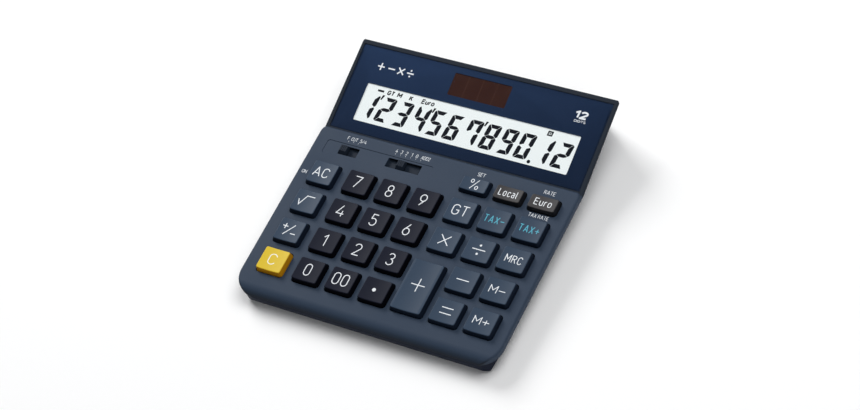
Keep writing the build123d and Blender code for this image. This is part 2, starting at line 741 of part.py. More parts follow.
def strip_slot(pole):
    """The notch in the battery well that a contact strip passes through."""
    x = BATTERY_PLACE[0] + STRIP_OFFSET[pole]
    half = STRIP_WIDTH / 2 + 0.2
    level = STRIP_LEVEL[pole]
    y_range = (STRIP_END_Y - 0.5, BATTERY_PLACE[1])
    return block((x - half, x + half), y_range, (level - 0.2, WELL_TOP + 1))


def battery():
    """A button cell: the can, and the smaller cap under it."""
    cap_top = BATTERY_FLOOR + BATTERY_CAP_HEIGHT
    cap = rod(BATTERY_PLACE, BATTERY_R - BATTERY_CAP_INSET, (BATTERY_FLOOR, cap_top))
    can = rod(BATTERY_PLACE, BATTERY_R, (cap_top, BATTERY_FLOOR + BATTERY_HEIGHT))
    can = fillet(can.edges().filter_by(GeomType.CIRCLE), BATTERY_EDGE_R)
    return can + cap


def battery_cover():
    """The cover in the base, with a screw hole and finger ridges."""
    centre = cover_centre()
    z_range = (BASE_HEIGHT, BASE_HEIGHT + COVER_THICK - 0.02)
    cover = rounded_block(centre, COVER_SIZE, z_range, COVER_R)
    screw = battery_screw_place()
    cover -= rod(screw, SCREW_R + 0.15, (0, z_range[1] + 1))
    cover -= rod(screw, SCREW_HEAD_R + 0.2, (0, COVER_SCREW_SEAT))
    first_y = centre[1] + COVER_SIZE[1] / 2 - COVER_RIDGE_INSET
    for step in range(COVER_RIDGES):
        place = (centre[0], first_y - COVER_RIDGE_PITCH * step)
        cover -= centred_block(place, COVER_RIDGE, (0, BASE_HEIGHT + COVER_RIDGE_DEPTH))
    return cover


def battery_cover_screw():
    """The screw in the battery cover."""
    return driven_screw(battery_screw_place(), COVER_SCREW_SEAT, COVER_SCREW_LENGTH)


def driven_screw(place, seat, length, head_r=SCREW_HEAD_R, head=SCREW_HEAD, shaft_r=SCREW_R):
    """A cross-head screw driven upwards: its head is under seat, its shaft above."""
    screw = rod(place, head_r, (seat - head, seat)) + rod(place, shaft_r, (seat, seat + length))
    for size in ((head_r * 1.3, CROSS_SLOT), (CROSS_SLOT, head_r * 1.3)):
        screw -= centred_block(place, size, (seat - head, seat - head / 2))
    return screw


# ---- display stack ----

def display_window():
    """The clear sheet over the whole display end."""
    z_range = (-MASK_DROP, -MASK_DROP + WINDOW_THICK)
    sheet = sheet_outline(z_range)
    top = sheet.faces().sort_by(Axis.Z)[-1]
    return DISPLAY * chamfer(top.edges(), WINDOW_CHAMFER)


def sheet_outline(z_range):
    """A sheet that fills the display pocket with a little clearance."""
    half = POCKET_HALF - WINDOW_CLEARANCE
    s_range = (POCKET_FRONT + WINDOW_CLEARANCE, POCKET_BACK - WINDOW_CLEARANCE)
    outline = plan(half, s_range, WINDOW_FRONT_R, WINDOW_BACK_R)
    return Pos(0, 0, z_range[0]) * extrude(outline, amount=z_range[1] - z_range[0])


def display_mask():
    """The printed layer behind the window, open over the cell and the solar cell."""
    z_range = (-MASK_DROP - MASK_THICK, -MASK_DROP)
    mask = sheet_outline(z_range)
    mask -= rounded_block((LCD_X, LCD_S), LCD_VIEW, (z_range[0] - 1, 0), LCD_VIEW_R)
    mask -= rounded_block((SOLAR_X, SOLAR_S), SOLAR_VIEW, (z_range[0] - 1, 0), SOLAR_VIEW_R)
    return DISPLAY * mask


def glass_top():
    """The height of the glass faces, just under the mask."""
    return -MASK_DROP - MASK_THICK - GLASS_PLAY


def lcd_cell():
    """Two glass plates: the rear one is longer, for the connector's ledge."""
    top = glass_top()
    rear_size = LCD_GLASS
    front_size = (LCD_GLASS[0], LCD_GLASS[1] - LCD_LEDGE)
    front_centre = (LCD_X, LCD_S + LCD_LEDGE / 2)
    cell = centred_block(front_centre, front_size, (top - GLASS_THICK, top))
    cell += centred_block((LCD_X, LCD_S), rear_size, (top - 2 * GLASS_THICK, top - GLASS_THICK))
    return DISPLAY * cell


def lcd_foot():
    """The height of the cell's rear face."""
    return glass_top() - 2 * GLASS_THICK


def lcd_reflector():
    """The reflective film on the back of the cell."""
    size = (LCD_GLASS[0] - 2.0, LCD_GLASS[1] - LCD_LEDGE - 1.0)
    centre = (LCD_X, LCD_S + LCD_LEDGE / 2)
    return DISPLAY * centred_block(centre, size, (lcd_foot() - FILM_THICK, lcd_foot()))


def solar_cell():
    """The dark glass plate of the solar cell."""
    top = glass_top()
    return DISPLAY * centred_block(
        (SOLAR_X, SOLAR_S), SOLAR_GLASS, (top - 2 * GLASS_THICK, top)
    )


def holder_top():
    """The face of the display holder that bears on the film."""
    return lcd_foot() - FILM_THICK


def display_holder():
    """A ribbed plate that clamps the cell and the solar cell to the shelf."""
    z_range = (holder_top() - HOLDER_THICK, holder_top())
    x_range = (-HOLDER_HALF, HOLDER_HALF)
    plate = block(x_range, (HOLDER_FRONT, HOLDER_BACK), z_range)
    plate -= centred_block((LCD_X, LCD_S), HOLDER_LCD_HOLE, (z_range[0] - 1, 0))
    plate -= centred_block((SOLAR_X, SOLAR_S), HOLDER_SOLAR_HOLE, (z_range[0] - 1, 0))
    for x, s in HOLDER_SCREWS:
        plate -= rod((x, s), SCREW_R + 0.2, (z_range[0] - 1, 0))
    for x, y in HOUSING_SCREWS_REAR:
        s = (y - CREASE_Y) / COS_DISPLAY
        plate -= centred_block((x, s), HOLDER_NOTCH, (z_range[0] - 1, 0))
    return DISPLAY * plate


def display_flex():
    """The flexible connector from the cell's ledge down to the board."""
    ledge_s = LCD_S - LCD_GLASS[1] / 2
    ledge = display_in_deck(ledge_s + 0.6, lcd_foot() - 0.16)
    below = display_in_deck(ledge_s - 1.4, lcd_foot() - 0.9)
    board = (BOARD_Y[1] - 1.0, BOARD_TOP + 0.16)
    back = display_in_deck(ledge_s - 1.0, lcd_foot() - 0.16)
    path = Polyline(
        ledge,
        back,
        below,
        (BOARD_Y[1] + 0.5, board[1]),
        board,
    )
    ribbon = trace(path, line_width=0.16)
    return DECK * extrude(SIDE * ribbon, amount=FLEX_HALF, both=True)


def solar_leads():
    """Two flat leads from the solar cell down to the board's rear edge."""
    start = display_in_deck(SOLAR_S - 6.0, holder_top() - HOLDER_THICK - 0.5)
    middle = display_in_deck(8.0, holder_top() - HOLDER_THICK - 0.8)
    end = (BOARD_Y[1] - 1.5, BOARD_TOP - BOARD_THICK - 0.45)
    dip = (BOARD_Y[1] + 3.0, BOARD_TOP - BOARD_THICK - 0.45)
    ribbon = trace(Polyline(start, middle, dip, end), line_width=0.8)
    leads = extrude(SIDE * ribbon, amount=0.5, both=True)
    pair = [DECK * Pos(SOLAR_X + offset, 0, 0) * leads for offset in (-3.0, 3.0)]
    return Compound(children=[lead.solid() for lead in pair])


# ---- board stack ----

def main_board():
    """The circuit board, with clearance round the housing bosses."""
    outline = plan(BOARD_HALF, BOARD_Y, BOARD_CORNER_R, BOARD_REAR_R)
    board = Pos(0, 0, BOARD_TOP - BOARD_THICK) * extrude(outline, amount=BOARD_THICK)
    z_range = (BOARD_TOP - BOARD_THICK - 1, BOARD_TOP + 1)
    for x, y in BOARD_SCREWS:
        board -= rod((x, y), SCREW_R + BOARD_SCREW_CLEARANCE, z_range)
    board = DECK * board
    for place in CASE_SCREWS[: len(HOUSING_SCREWS_DECK)]:
        board -= rod(place, CASE_BOSS_R + BOARD_BOSS_CLEARANCE, (0, HEIGHT))
    return board


def keypad_sheet():
    """The rubber sheet with a hollow dome and a carbon pill under each key."""
    sheet_top = BOARD_TOP + SHEET_THICK
    main = block(SHEET_X, SHEET_Y, (BOARD_TOP, sheet_top))
    upper = block((SHEET_TOP_X, SHEET_X[1]), (SHEET_Y[1], SHEET_TOP_Y), (BOARD_TOP, sheet_top))
    sheet = main + upper
    dome_top = -POST_REACH
    dome_height = dome_top - sheet_top
    domes = []
    hollows = []
    pills = []
    for centre, top in KEYS.values():
        for offset in dome_offsets(top):
            place = Pos(centre[0] + offset[0], centre[1] + offset[1], 0)
            dome = Cone(DOME_R[0], DOME_R[1], dome_height)
            domes.append(place * Pos(0, 0, sheet_top + dome_height / 2) * dome)
            hollow_height = dome_top - DOME_ROOF - BOARD_TOP
            hollow = Cone(DOME_CAVITY_R[0], DOME_CAVITY_R[1], hollow_height)
            hollows.append(place * Pos(0, 0, BOARD_TOP + hollow_height / 2) * hollow)
            pill_top = dome_top - DOME_ROOF
            pills.append(place * rod((0, 0), PILL_R, (pill_top - PILL_THICK, pill_top)))
    sheet = sheet + domes - hollows + pills
    for x, y in BOARD_SCREWS:
        sheet -= rod((x, y), FRONT_BOSS_R + 0.3, (BOARD_TOP - 1, 0))
    return DECK * sheet


def chip_cover():
    """The resin drop over the chip, under the board."""
    sphere_r = (CHIP_R ** 2 + CHIP_BULGE ** 2) / (2 * CHIP_BULGE)
    drop = Pos(0, 0, sphere_r - CHIP_BULGE) * Sphere(sphere_r)
    drop &= Pos(0, 0, -sphere_r) * Box(4 * sphere_r, 4 * sphere_r, 2 * sphere_r)
    return DECK * Pos(CHIP_PLACE[0], CHIP_PLACE[1], BOARD_TOP - BOARD_THICK) * drop


def board_components():
    """Small capacitors and resistors on the underside of the board."""
    face = BOARD_TOP - BOARD_THICK
    pieces = []
    x, y = CAPACITOR_START
    for index in range(CAPACITORS):
        place = (x + COMPONENT_PITCH * index, y)
        z_range = (face - CAPACITOR_HEIGHT, face)
        pieces.append(DECK * centred_block(place, CAPACITOR_SIZE, z_range))
    x, y = RESISTOR_START
    for index in range(RESISTORS):
        place = (x, y + COMPONENT_PITCH * index)
        z_range = (face - RESISTOR_HEIGHT, face)
        pieces.append(DECK * centred_block(place, RESISTOR_SIZE, z_range))
    return Compound(children=[piece.solid() for piece in pieces])


def board_screws():
    """The small screws that hold the board and the display holder."""
    seat = BOARD_TOP - BOARD_THICK
    screws = [DECK * driven_screw(place, seat, BOARD_SCREW_LENGTH) for place in BOARD_SCREWS]
    holder_seat = holder_top() - HOLDER_THICK
    screws += [DISPLAY * driven_screw(place, holder_seat, HOLDER_SCREW_LENGTH) for place in HOLDER_SCREWS]
    return Compound(children=[screw.solid() for screw in screws])


def housing_screws():
    """The six screws that join the housings."""
    screws = [
        driven_screw(
            place, CASE_HEAD_SEAT, CASE_SCREW_LENGTH, CASE_HEAD_R, CASE_HEAD, CASE_SCREW_R
        )
        for place in CASE_SCREWS
    ]
    return Compound(children=[screw.solid() for screw in screws])


def rubber_feet():
    """Four round feet pressed into the base."""
    feet = []
    for place in FEET:
        foot = rod(place, FOOT_R, (0, BASE_HEIGHT + FOOT_SINK))
        feet.append(fillet(foot.edges().group_by(Axis.Z)[0], FOOT_EDGE_R))
    return Compound(children=[foot.solid() for foot in feet])


def base_label():
    """A blank label let into the base."""
    z_range = (BASE_HEIGHT, BASE_HEIGHT + LABEL_THICK)
    return rounded_block(LABEL_PLACE, LABEL_SIZE, z_range, LABEL_R)


# ---- write every sub-part ----

def all_parts():
    """Every node's name with its shape."""
    parts = {
        "upper_housing": upper_housing(),
        "lower_housing": lower_housing(),
        "display_window": display_window(),
        "display_mask": display_mask(),
        "lcd_cell": lcd_cell(),
        "lcd_reflector": lcd_reflector(),
        "display_holder": display_holder(),
        "display_flex": display_flex(),
        "solar_cell": solar_cell(),
        "solar_leads": solar_leads(),
        "main_board": main_board(),
        "keypad_sheet": keypad_sheet(),
        "chip_cover": chip_cover(),
        "board_components": board_components(),
        "board_screws": board_screws(),
        "housing_screws": housing_screws(),
        "battery": battery(),
        "battery_contact_plus": contact_strip("plus"),
        "battery_contact_minus": contact_strip("minus"),
        "battery_cover": battery_cover(),
        "battery_cover_screw": battery_cover_screw(),
        "rubber_feet": rubber_feet(),
        "base_label": base_label(),
    }
    for switch in SWITCHES:
        parts[switch + "_knob"] = switch_knob(switch)
        parts[switch + "_wiper"] = switch_wiper(switch)
    for name, (centre, top) in KEYS.items():
        parts[name] = key_cap(centre, top)
    return parts


def main():
    """Write one STEP file for each sub-part."""
    os.makedirs("parts", exist_ok=True)
    for name, shape in all_parts().items():
        export_step(shape, "parts/" + name + ".step")


main()
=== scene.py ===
import json
import math

import bmesh
import bpy
from mathutils import Euler, Matrix, Vector
from mathutils.bvhtree import BVHTree


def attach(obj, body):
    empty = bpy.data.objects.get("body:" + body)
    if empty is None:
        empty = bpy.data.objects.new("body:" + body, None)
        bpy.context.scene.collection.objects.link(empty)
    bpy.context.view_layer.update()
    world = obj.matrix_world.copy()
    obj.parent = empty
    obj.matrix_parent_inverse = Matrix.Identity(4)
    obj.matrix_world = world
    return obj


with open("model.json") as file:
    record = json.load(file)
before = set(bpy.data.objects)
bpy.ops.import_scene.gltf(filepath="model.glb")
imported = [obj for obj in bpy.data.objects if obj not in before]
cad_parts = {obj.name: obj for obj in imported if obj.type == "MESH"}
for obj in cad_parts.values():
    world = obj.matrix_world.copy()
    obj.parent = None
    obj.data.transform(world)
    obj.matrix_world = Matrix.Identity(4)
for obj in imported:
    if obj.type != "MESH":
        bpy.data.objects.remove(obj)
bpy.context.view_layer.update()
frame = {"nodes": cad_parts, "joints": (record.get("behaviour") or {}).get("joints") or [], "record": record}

MM = 0.001
NODES = frame["nodes"]


# ---- working planes: the key deck and the display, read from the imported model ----

class Surface:
    """A tilted working plane. x runs across, y up its slope and z out of it, in millimetres."""

    def __init__(self, normal):
        self.normal = normal.normalized()
        self.across = Vector((1, 0, 0))
        self.up = self.normal.cross(self.across)
        self.origin = Vector((0, 0, 0))

    def spread(self, node, direction):
        """The least and greatest reach of a node along a direction, in millimetres."""
        values = [v.co.dot(direction) / MM for v in NODES[node].data.vertices]
        return min(values), max(values)

    def set_origin(self, along, height):
        """Puts the origin this far up the slope and out of it, from the world's origin."""
        self.origin = (self.up * along + self.normal * height) * MM

    def at(self, x, y, z):
        """A point of the plane in the world, in metres."""
        return self.origin + (self.across * x + self.up * y + self.normal * z) * MM

    def matrix(self):
        """The plane's own frame in the world."""
        turn = Matrix((self.across, self.up, self.normal)).transposed().to_4x4()
        return Matrix.Translation(self.origin) @ turn


def press_axis():
    """The way the keys go down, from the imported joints."""
    joint = [j for j in frame["joints"] if j["child"] == "key_4"][0]
    return Vector(joint["axis"])


def largest_normal(node):
    """The normal of a thin sheet's broad upper face."""
    mesh = NODES[node].data
    upward = [p for p in mesh.polygons if p.normal.z > 0.5]
    return max(upward, key=lambda p: p.area).normal.copy()


# How far a key's posts reach below the deck, and how far the mask starts above the crease.
POST_REACH = 3.4
MASK_FRONT = 1.05

DECK = Surface(-press_axis())
low, high = DECK.spread("key_4", DECK.up)
DECK.set_origin((low + high) / 2, DECK.spread("key_4", DECK.normal)[0] + POST_REACH)

PANEL = Surface(largest_normal("display_mask"))
PANEL.set_origin(
    PANEL.spread("display_mask", PANEL.up)[0] - MASK_FRONT,
    PANEL.spread("display_mask", PANEL.normal)[1],
)


# ---- materials ----

def graph(name):
    """A new node material, with its nodes and its links."""
    material = bpy.data.materials.new(name)
    material.use_nodes = True
    return material, material.node_tree.nodes, material.node_tree.links


def noise(nodes, links, coords, scale_mm, detail=3.0, roughness=0.5, stretch=(1, 1, 1)):
    """Noise whose features are about scale_mm across. Returns its 0 to 1 output."""
    mapping = nodes.new("ShaderNodeMapping")
    mapping.inputs["Scale"].default_value = stretch
    links.new(coords.outputs["Object"], mapping.inputs["Vector"])
    texture = nodes.new("ShaderNodeTexNoise")
    texture.inputs["Scale"].default_value = 1000.0 / scale_mm
    texture.inputs["Detail"].default_value = detail
    texture.inputs["Roughness"].default_value = roughness
    links.new(mapping.outputs["Vector"], texture.inputs["Vector"])
    return texture.outputs["Fac"]


def relief(nodes, links, shader, height, strength, depth_mm, normal=None):
    """Fine relief on a shader, from a height that runs from 0 to 1."""
    bump = nodes.new("ShaderNodeBump")
    bump.inputs["Strength"].default_value = strength
    bump.inputs["Distance"].default_value = depth_mm * MM
    links.new(height, bump.inputs["Height"])
    if normal is not None:
        links.new(normal, bump.inputs["Normal"])
    links.new(bump.outputs["Normal"], shader.inputs["Normal"])


def product(nodes, links, first, second):
    """Two values multiplied."""
    node = nodes.new("ShaderNodeMath")
    node.operation = "MULTIPLY"
    links.new(first, node.inputs[0])
    links.new(second, node.inputs[1])
    return node.outputs[0]


def parts_of(nodes, links, vector):
    """A vector's X, Y and Z outputs."""
    split = nodes.new("ShaderNodeSeparateXYZ")
    links.new(vector, split.inputs[0])
    return split.outputs


def remap(nodes, links, value, low_in, high_in, low_out, high_out):
    """A value carried from one range to another, and clamped."""
    node = nodes.new("ShaderNodeMapRange")
    node.inputs["From Min"].default_value = low_in
    node.inputs["From Max"].default_value = high_in
    node.inputs["To Min"].default_value = low_out
    node.inputs["To Max"].default_value = high_out
    links.new(value, node.inputs["Value"])
    return node.outputs["Result"]


def blend_colour(nodes, links, factor, first, second):
    """Two colours mixed by a factor. Each is an (r, g, b) or a socket."""
    node = nodes.new("ShaderNodeMix")
    node.data_type = "RGBA"
    links.new(factor, node.inputs[0])
    for colour, socket in ((first, node.inputs[6]), (second, node.inputs[7])):
        if isinstance(colour, tuple):
            socket.default_value = (*colour, 1.0)
        else:
            links.new(colour, socket)
    return node.outputs[2]


def shade(colour, amount):
    """A colour made lighter or darker."""
    return tuple(min(1.0, c * amount) for c in colour)


def edge_mask(nodes, links, radius_mm):
    """High along convex and concave edges, and the rounded normal that goes with it."""
    bevel = nodes.new("ShaderNodeBevel")
    bevel.samples = 4
    bevel.inputs["Radius"].default_value = radius_mm * MM
    geometry = nodes.new("ShaderNodeNewGeometry")
    dot = nodes.new("ShaderNodeVectorMath")
    dot.operation = "DOT_PRODUCT"
    links.new(bevel.outputs["Normal"], dot.inputs[0])
    links.new(geometry.outputs["Normal"], dot.inputs[1])
    mask = remap(nodes, links, dot.outputs["Value"], 0.80, 0.995, 1.0, 0.0)
    return mask, bevel.outputs["Normal"]


def painted_steep_shade(nodes, links, right_wall_shade_share=1.0):
    """Painted shade mask: 0 on faces that look up, 1 on walls and undersides, and a given share on
    right-hand walls.
    """
    normal = parts_of(nodes, links, nodes.new("ShaderNodeNewGeometry").outputs["Normal"])
    steep = remap(nodes, links, normal["Z"], 0.35, 0.86, 1.0, 0.0)
    right = remap(nodes, links, normal["X"], 0.3, 0.7, 1.0, right_wall_shade_share)
    return product(nodes, links, steep, right)


def behind_crease(nodes, links, coords):
    """Painted shade mask: 1 on the display end, behind the crease between the deck and the display, else 0.
    """
    place = parts_of(nodes, links, coords.outputs["Object"])
    crease = PANEL.origin.y
    return remap(nodes, links, place["Y"], crease - 1.5 * MM, crease - 0.5 * MM, 0.0, 1.0)


def moulded(name, colour, rough, grain_mm=0.35, relief_mm=0.012, mottle=0.06, drift=0.05,
            wear_and_highlight=0.18, edge_mm=0.25, specular=0.15, rear_painted_shade=1.0, painted_flank_shade=None, right_wall_shade_share=1.0):
    """Moulded plastic: a fine spark-eroded grain, faint clouding, lighter and smoother edges that are partly
    wear and partly a painted highlight, and painted shade where asked.
    """
    material, nodes, links = graph(name)
    shader = nodes["Principled BSDF"]
    coords = nodes.new("ShaderNodeTexCoord")
    grain = noise(nodes, links, coords, grain_mm, 4.0, 0.6)
    cloud = noise(nodes, links, coords, 26.0, 2.0)
    speck = noise(nodes, links, coords, 1.7, 5.0, 0.7)
    mask, rounded = edge_mask(nodes, links, edge_mm)
    base = blend_colour(nodes, links, cloud, shade(colour, 1 - mottle), shade(colour, 1 + mottle))
    fine = remap(nodes, links, speck, 0.35, 0.7, 0.0, 0.35)
    base = blend_colour(nodes, links, fine, base, shade(colour, 1 - 2 * mottle))
    # Lighter edges: partly wear, partly a painted highlight.
    worn_and_highlit = product(nodes, links, mask, remap(nodes, links, speck, 0.3, 0.65, 0.25 * wear_and_highlight, wear_and_highlight))
    base = blend_colour(nodes, links, worn_and_highlit, base, tuple(1.6 * c + 0.06 for c in colour))
    # Steep faces take the darker flank colour: painted shade on walls and undersides.
    if painted_flank_shade is not None:
        steep = painted_steep_shade(nodes, links, right_wall_shade_share)
        base = blend_colour(nodes, links, steep, base, painted_flank_shade)
    # The display end behind the crease takes a darker colour: painted shade.
    if rear_painted_shade != 1.0:
        rear = behind_crease(nodes, links, coords)
        base = blend_colour(nodes, links, rear, base, shade(colour, rear_painted_shade))
    links.new(base, shader.inputs["Base Color"])
    gloss = remap(nodes, links, cloud, 0.3, 0.7, rough - drift, rough + drift)
    links.new(gloss, shader.inputs["Roughness"])
    shader.inputs["Specular IOR Level"].default_value = specular
    relief(nodes, links, shader, grain, 0.6, relief_mm, rounded)
    return material


def key_plastic(name, colour, painted_flank_shade, specular=0.12):
    """Satin key plastic: smoother than the case, with painted shade on its flanks."""
    return moulded(name, colour, 0.36, grain_mm=0.22, relief_mm=0.006, mottle=0.04, drift=0.04,
                   wear_and_highlight=0.15, specular=specular, painted_flank_shade=painted_flank_shade)


def metal(name, colour, rough, stretch=(1, 12, 1), scratch_mm=0.25):
    """Drawn or plated metal: fine scratches along one way, with dull patches."""
    material, nodes, links = graph(name)
    shader = nodes["Principled BSDF"]
    shader.inputs["Metallic"].default_value = 1.0
    coords = nodes.new("ShaderNodeTexCoord")
    scratch = noise(nodes, links, coords, scratch_mm, 3.0, 0.6, stretch)
    cloud = noise(nodes, links, coords, 4.0)
    base = blend_colour(nodes, links, cloud, shade(colour, 0.85), shade(colour, 1.05))
    links.new(base, shader.inputs["Base Color"])
    gloss = remap(nodes, links, scratch, 0.3, 0.7, rough - 0.08, rough + 0.12)
    links.new(gloss, shader.inputs["Roughness"])
    relief(nodes, links, shader, scratch, 0.5, 0.006)
    return material


def stripes(nodes, links, coords, pitch_mm, share, axis="X", shift_mm=0.0):
    """1 on thin lines square to an axis, 0 between them."""
    place = parts_of(nodes, links, coords.outputs["Object"])
    shifted = nodes.new("ShaderNodeMath")
    shifted.operation = "ADD"
    shifted.inputs[1].default_value = shift_mm * MM
    links.new(place[axis], shifted.inputs[0])
    wrap = nodes.new("ShaderNodeMath")
    wrap.operation = "WRAP"
    wrap.inputs[1].default_value = pitch_mm * MM
    wrap.inputs[2].default_value = 0.0
    links.new(shifted.outputs[0], wrap.inputs[0])
    line = nodes.new("ShaderNodeMath")
    line.operation = "LESS_THAN"
    line.inputs[1].default_value = pitch_mm * share * MM
    links.new(wrap.outputs[0], line.inputs[0])
    return line.outputs[0]


def clear_window(name):
    """The clear sheet: almost invisible, with a soft gloss, the faintest haze and a painted highlight line
    along its edges.
    """
    material, nodes, links = graph(name)
    shader = nodes["Principled BSDF"]
    coords = nodes.new("ShaderNodeTexCoord")
    haze = noise(nodes, links, coords, 9.0, 4.0, 0.6)
    shader.inputs["Base Color"].default_value = (0.20, 0.28, 0.50, 1.0)
    shader.inputs["Specular IOR Level"].default_value = 0.06
    links.new(remap(nodes, links, haze, 0.3, 0.7, 0.05, 0.10), shader.inputs["Roughness"])
    # The sheet is more opaque along its edges: a painted highlight line where the edge catches light.
    mask = edge_mask(nodes, links, 0.15)[0]
    links.new(remap(nodes, links, mask, 0.0, 1.0, 0.01, 0.25), shader.inputs["Alpha"])
    relief(nodes, links, shader, haze, 0.2, 0.002)
    return material


def panel_heights():
    """The lowest and the highest point of the display panel, in metres."""
    heights = [v.co.z for v in NODES["display_mask"].data.vertices]
    return min(heights), max(heights)


def printed_panel(name, colour):
    """Back-printed ink seen through gloss: a fine screen texture, with painted shade towards the bottom and
    the right that leaves a painted reflection at the upper left.
    """
    material, nodes, links = graph(name)
    shader = nodes["Principled BSDF"]
    coords = nodes.new("ShaderNodeTexCoord")
    screen = noise(nodes, links, coords, 0.3, 2.0)
    cloud = noise(nodes, links, coords, 40.0, 2.0)
    base = blend_colour(nodes, links, cloud, shade(colour, 0.93), shade(colour, 1.07))
    fine = remap(nodes, links, screen, 0.35, 0.65, 0.0, 0.25)
    base = blend_colour(nodes, links, fine, base, shade(colour, 1.25))
    # Painted shade: darker towards the right and the bottom, so the upper left stays lighter as a painted
    # reflection.
    place = parts_of(nodes, links, coords.outputs["Object"])
    painted_shade_rightwards = remap(nodes, links, place["X"], -0.03, 0.07, 0.0, 0.45)
    base = blend_colour(nodes, links, painted_shade_rightwards, base, shade(colour, 0.3))
    lowest, highest = panel_heights()
    painted_shade_downwards = remap(nodes, links, place["Z"], lowest, highest, 0.65, 0.0)
    base = blend_colour(nodes, links, painted_shade_downwards, base, shade(colour, 0.3))
    links.new(base, shader.inputs["Base Color"])
    links.new(remap(nodes, links, cloud, 0.3, 0.7, 0.30, 0.36), shader.inputs["Roughness"])
    shader.inputs["Specular IOR Level"].default_value = 0.04
    shader.inputs["Coat Weight"].default_value = 0.04
    shader.inputs["Coat Roughness"].default_value = 0.22
    relief(nodes, links, shader, screen, 0.15, 0.003)
    return material


def lcd_surface(name):
    """The pale face of the liquid-crystal cell, with a faint pearly grain."""
    material, nodes, links = graph(name)
    shader = nodes["Principled BSDF"]
    coords = nodes.new("ShaderNodeTexCoord")
    cloud = noise(nodes, links, coords, 30.0, 2.0)
    pearl = noise(nodes, links, coords, 0.25, 3.0, 0.6)
    base = blend_colour(nodes, links, cloud, (0.90, 0.96, 0.95), (0.94, 0.99, 0.98))
    fine = remap(nodes, links, pearl, 0.4, 0.7, 0.0, 0.3)
    base = blend_colour(nodes, links, fine, base, (0.82, 0.90, 0.90))
    links.new(base, shader.inputs["Base Color"])
    links.new(remap(nodes, links, pearl, 0.3, 0.7, 0.22, 0.34), shader.inputs["Roughness"])
    relief(nodes, links, shader, pearl, 0.1, 0.002)
    return material


SOLAR_STRIP = 8.375
SOLAR_FINGER = 1.05
SOLAR_START = 16.6


def solar_surface(name):
    """Dark brown amorphous silicon behind glass, in four strips with thin joints."""
    material, nodes, links = graph(name)
    shader = nodes["Principled BSDF"]
    coords = nodes.new("ShaderNodeTexCoord")
    cloud = noise(nodes, links, coords, 7.0, 3.0)
    base = blend_colour(nodes, links, cloud, (0.031, 0.009, 0.003), (0.044, 0.014, 0.004))
    joint = stripes(nodes, links, coords, SOLAR_STRIP, 0.03, "X", SOLAR_START)
    base = blend_colour(nodes, links, joint, base, (0.075, 0.034, 0.018))
    finger = stripes(nodes, links, coords, SOLAR_FINGER, 0.12, "X", SOLAR_START)
    soft = remap(nodes, links, finger, 0.0, 1.0, 0.0, 0.25)
    base = blend_colour(nodes, links, soft, base, (0.02, 0.008, 0.005))
    links.new(base, shader.inputs["Base Color"])
    links.new(remap(nodes, links, cloud, 0.3, 0.7, 0.16, 0.26), shader.inputs["Roughness"])
    shader.inputs["Specular IOR Level"].default_value = 0.08
    shader.inputs["Coat Weight"].default_value = 0.04
    shader.inputs["Coat Roughness"].default_value = 0.1
    return material


def board_surface(name, colour):
    """Solder resist over copper tracks."""
    material, nodes, links = graph(name)
    shader = nodes["Principled BSDF"]
    coords = nodes.new("ShaderNodeTexCoord")
    track = stripes(nodes, links, coords, 1.3, 0.4, "X")
    other = stripes(nodes, links, coords, 7.0, 0.2, "Y")
    base = blend_colour(nodes, links, track, shade(colour, 0.8), shade(colour, 1.4))
    base = blend_colour(nodes, links, other, base, shade(colour, 1.8))
    links.new(base, shader.inputs["Base Color"])
    cloud = noise(nodes, links, coords, 5.0)
    links.new(remap(nodes, links, cloud, 0.3, 0.7, 0.25, 0.4), shader.inputs["Roughness"])
    relief(nodes, links, shader, track, 0.4, 0.03)
    return material


def ink(name, colour, rough=0.45):
    """Printed or moulded-in marking ink, with a little unevenness."""
    material, nodes, links = graph(name)
    shader = nodes["Principled BSDF"]
    coords = nodes.new("ShaderNodeTexCoord")
    speck = noise(nodes, links, coords, 0.4, 3.0, 0.6)
    base = blend_colour(nodes, links, speck, shade(colour, 0.92), shade(colour, 1.06))
    links.new(base, shader.inputs["Base Color"])
    gloss = remap(nodes, links, speck, 0.3, 0.7, rough - 0.06, rough + 0.06)
    links.new(gloss, shader.inputs["Roughness"])
    shader.inputs["Specular IOR Level"].default_value = 0.1
    relief(nodes, links, shader, speck, 0.3, 0.004)
    return material


CASE_COLOUR = (0.030, 0.047, 0.078)
# The lower housing is far darker than the upper case, partly as painted shade on its undercut walls and
# front.
LOWER_COLOUR = (0.006, 0.010, 0.024)
PANEL_COLOUR = (0.014, 0.032, 0.080)

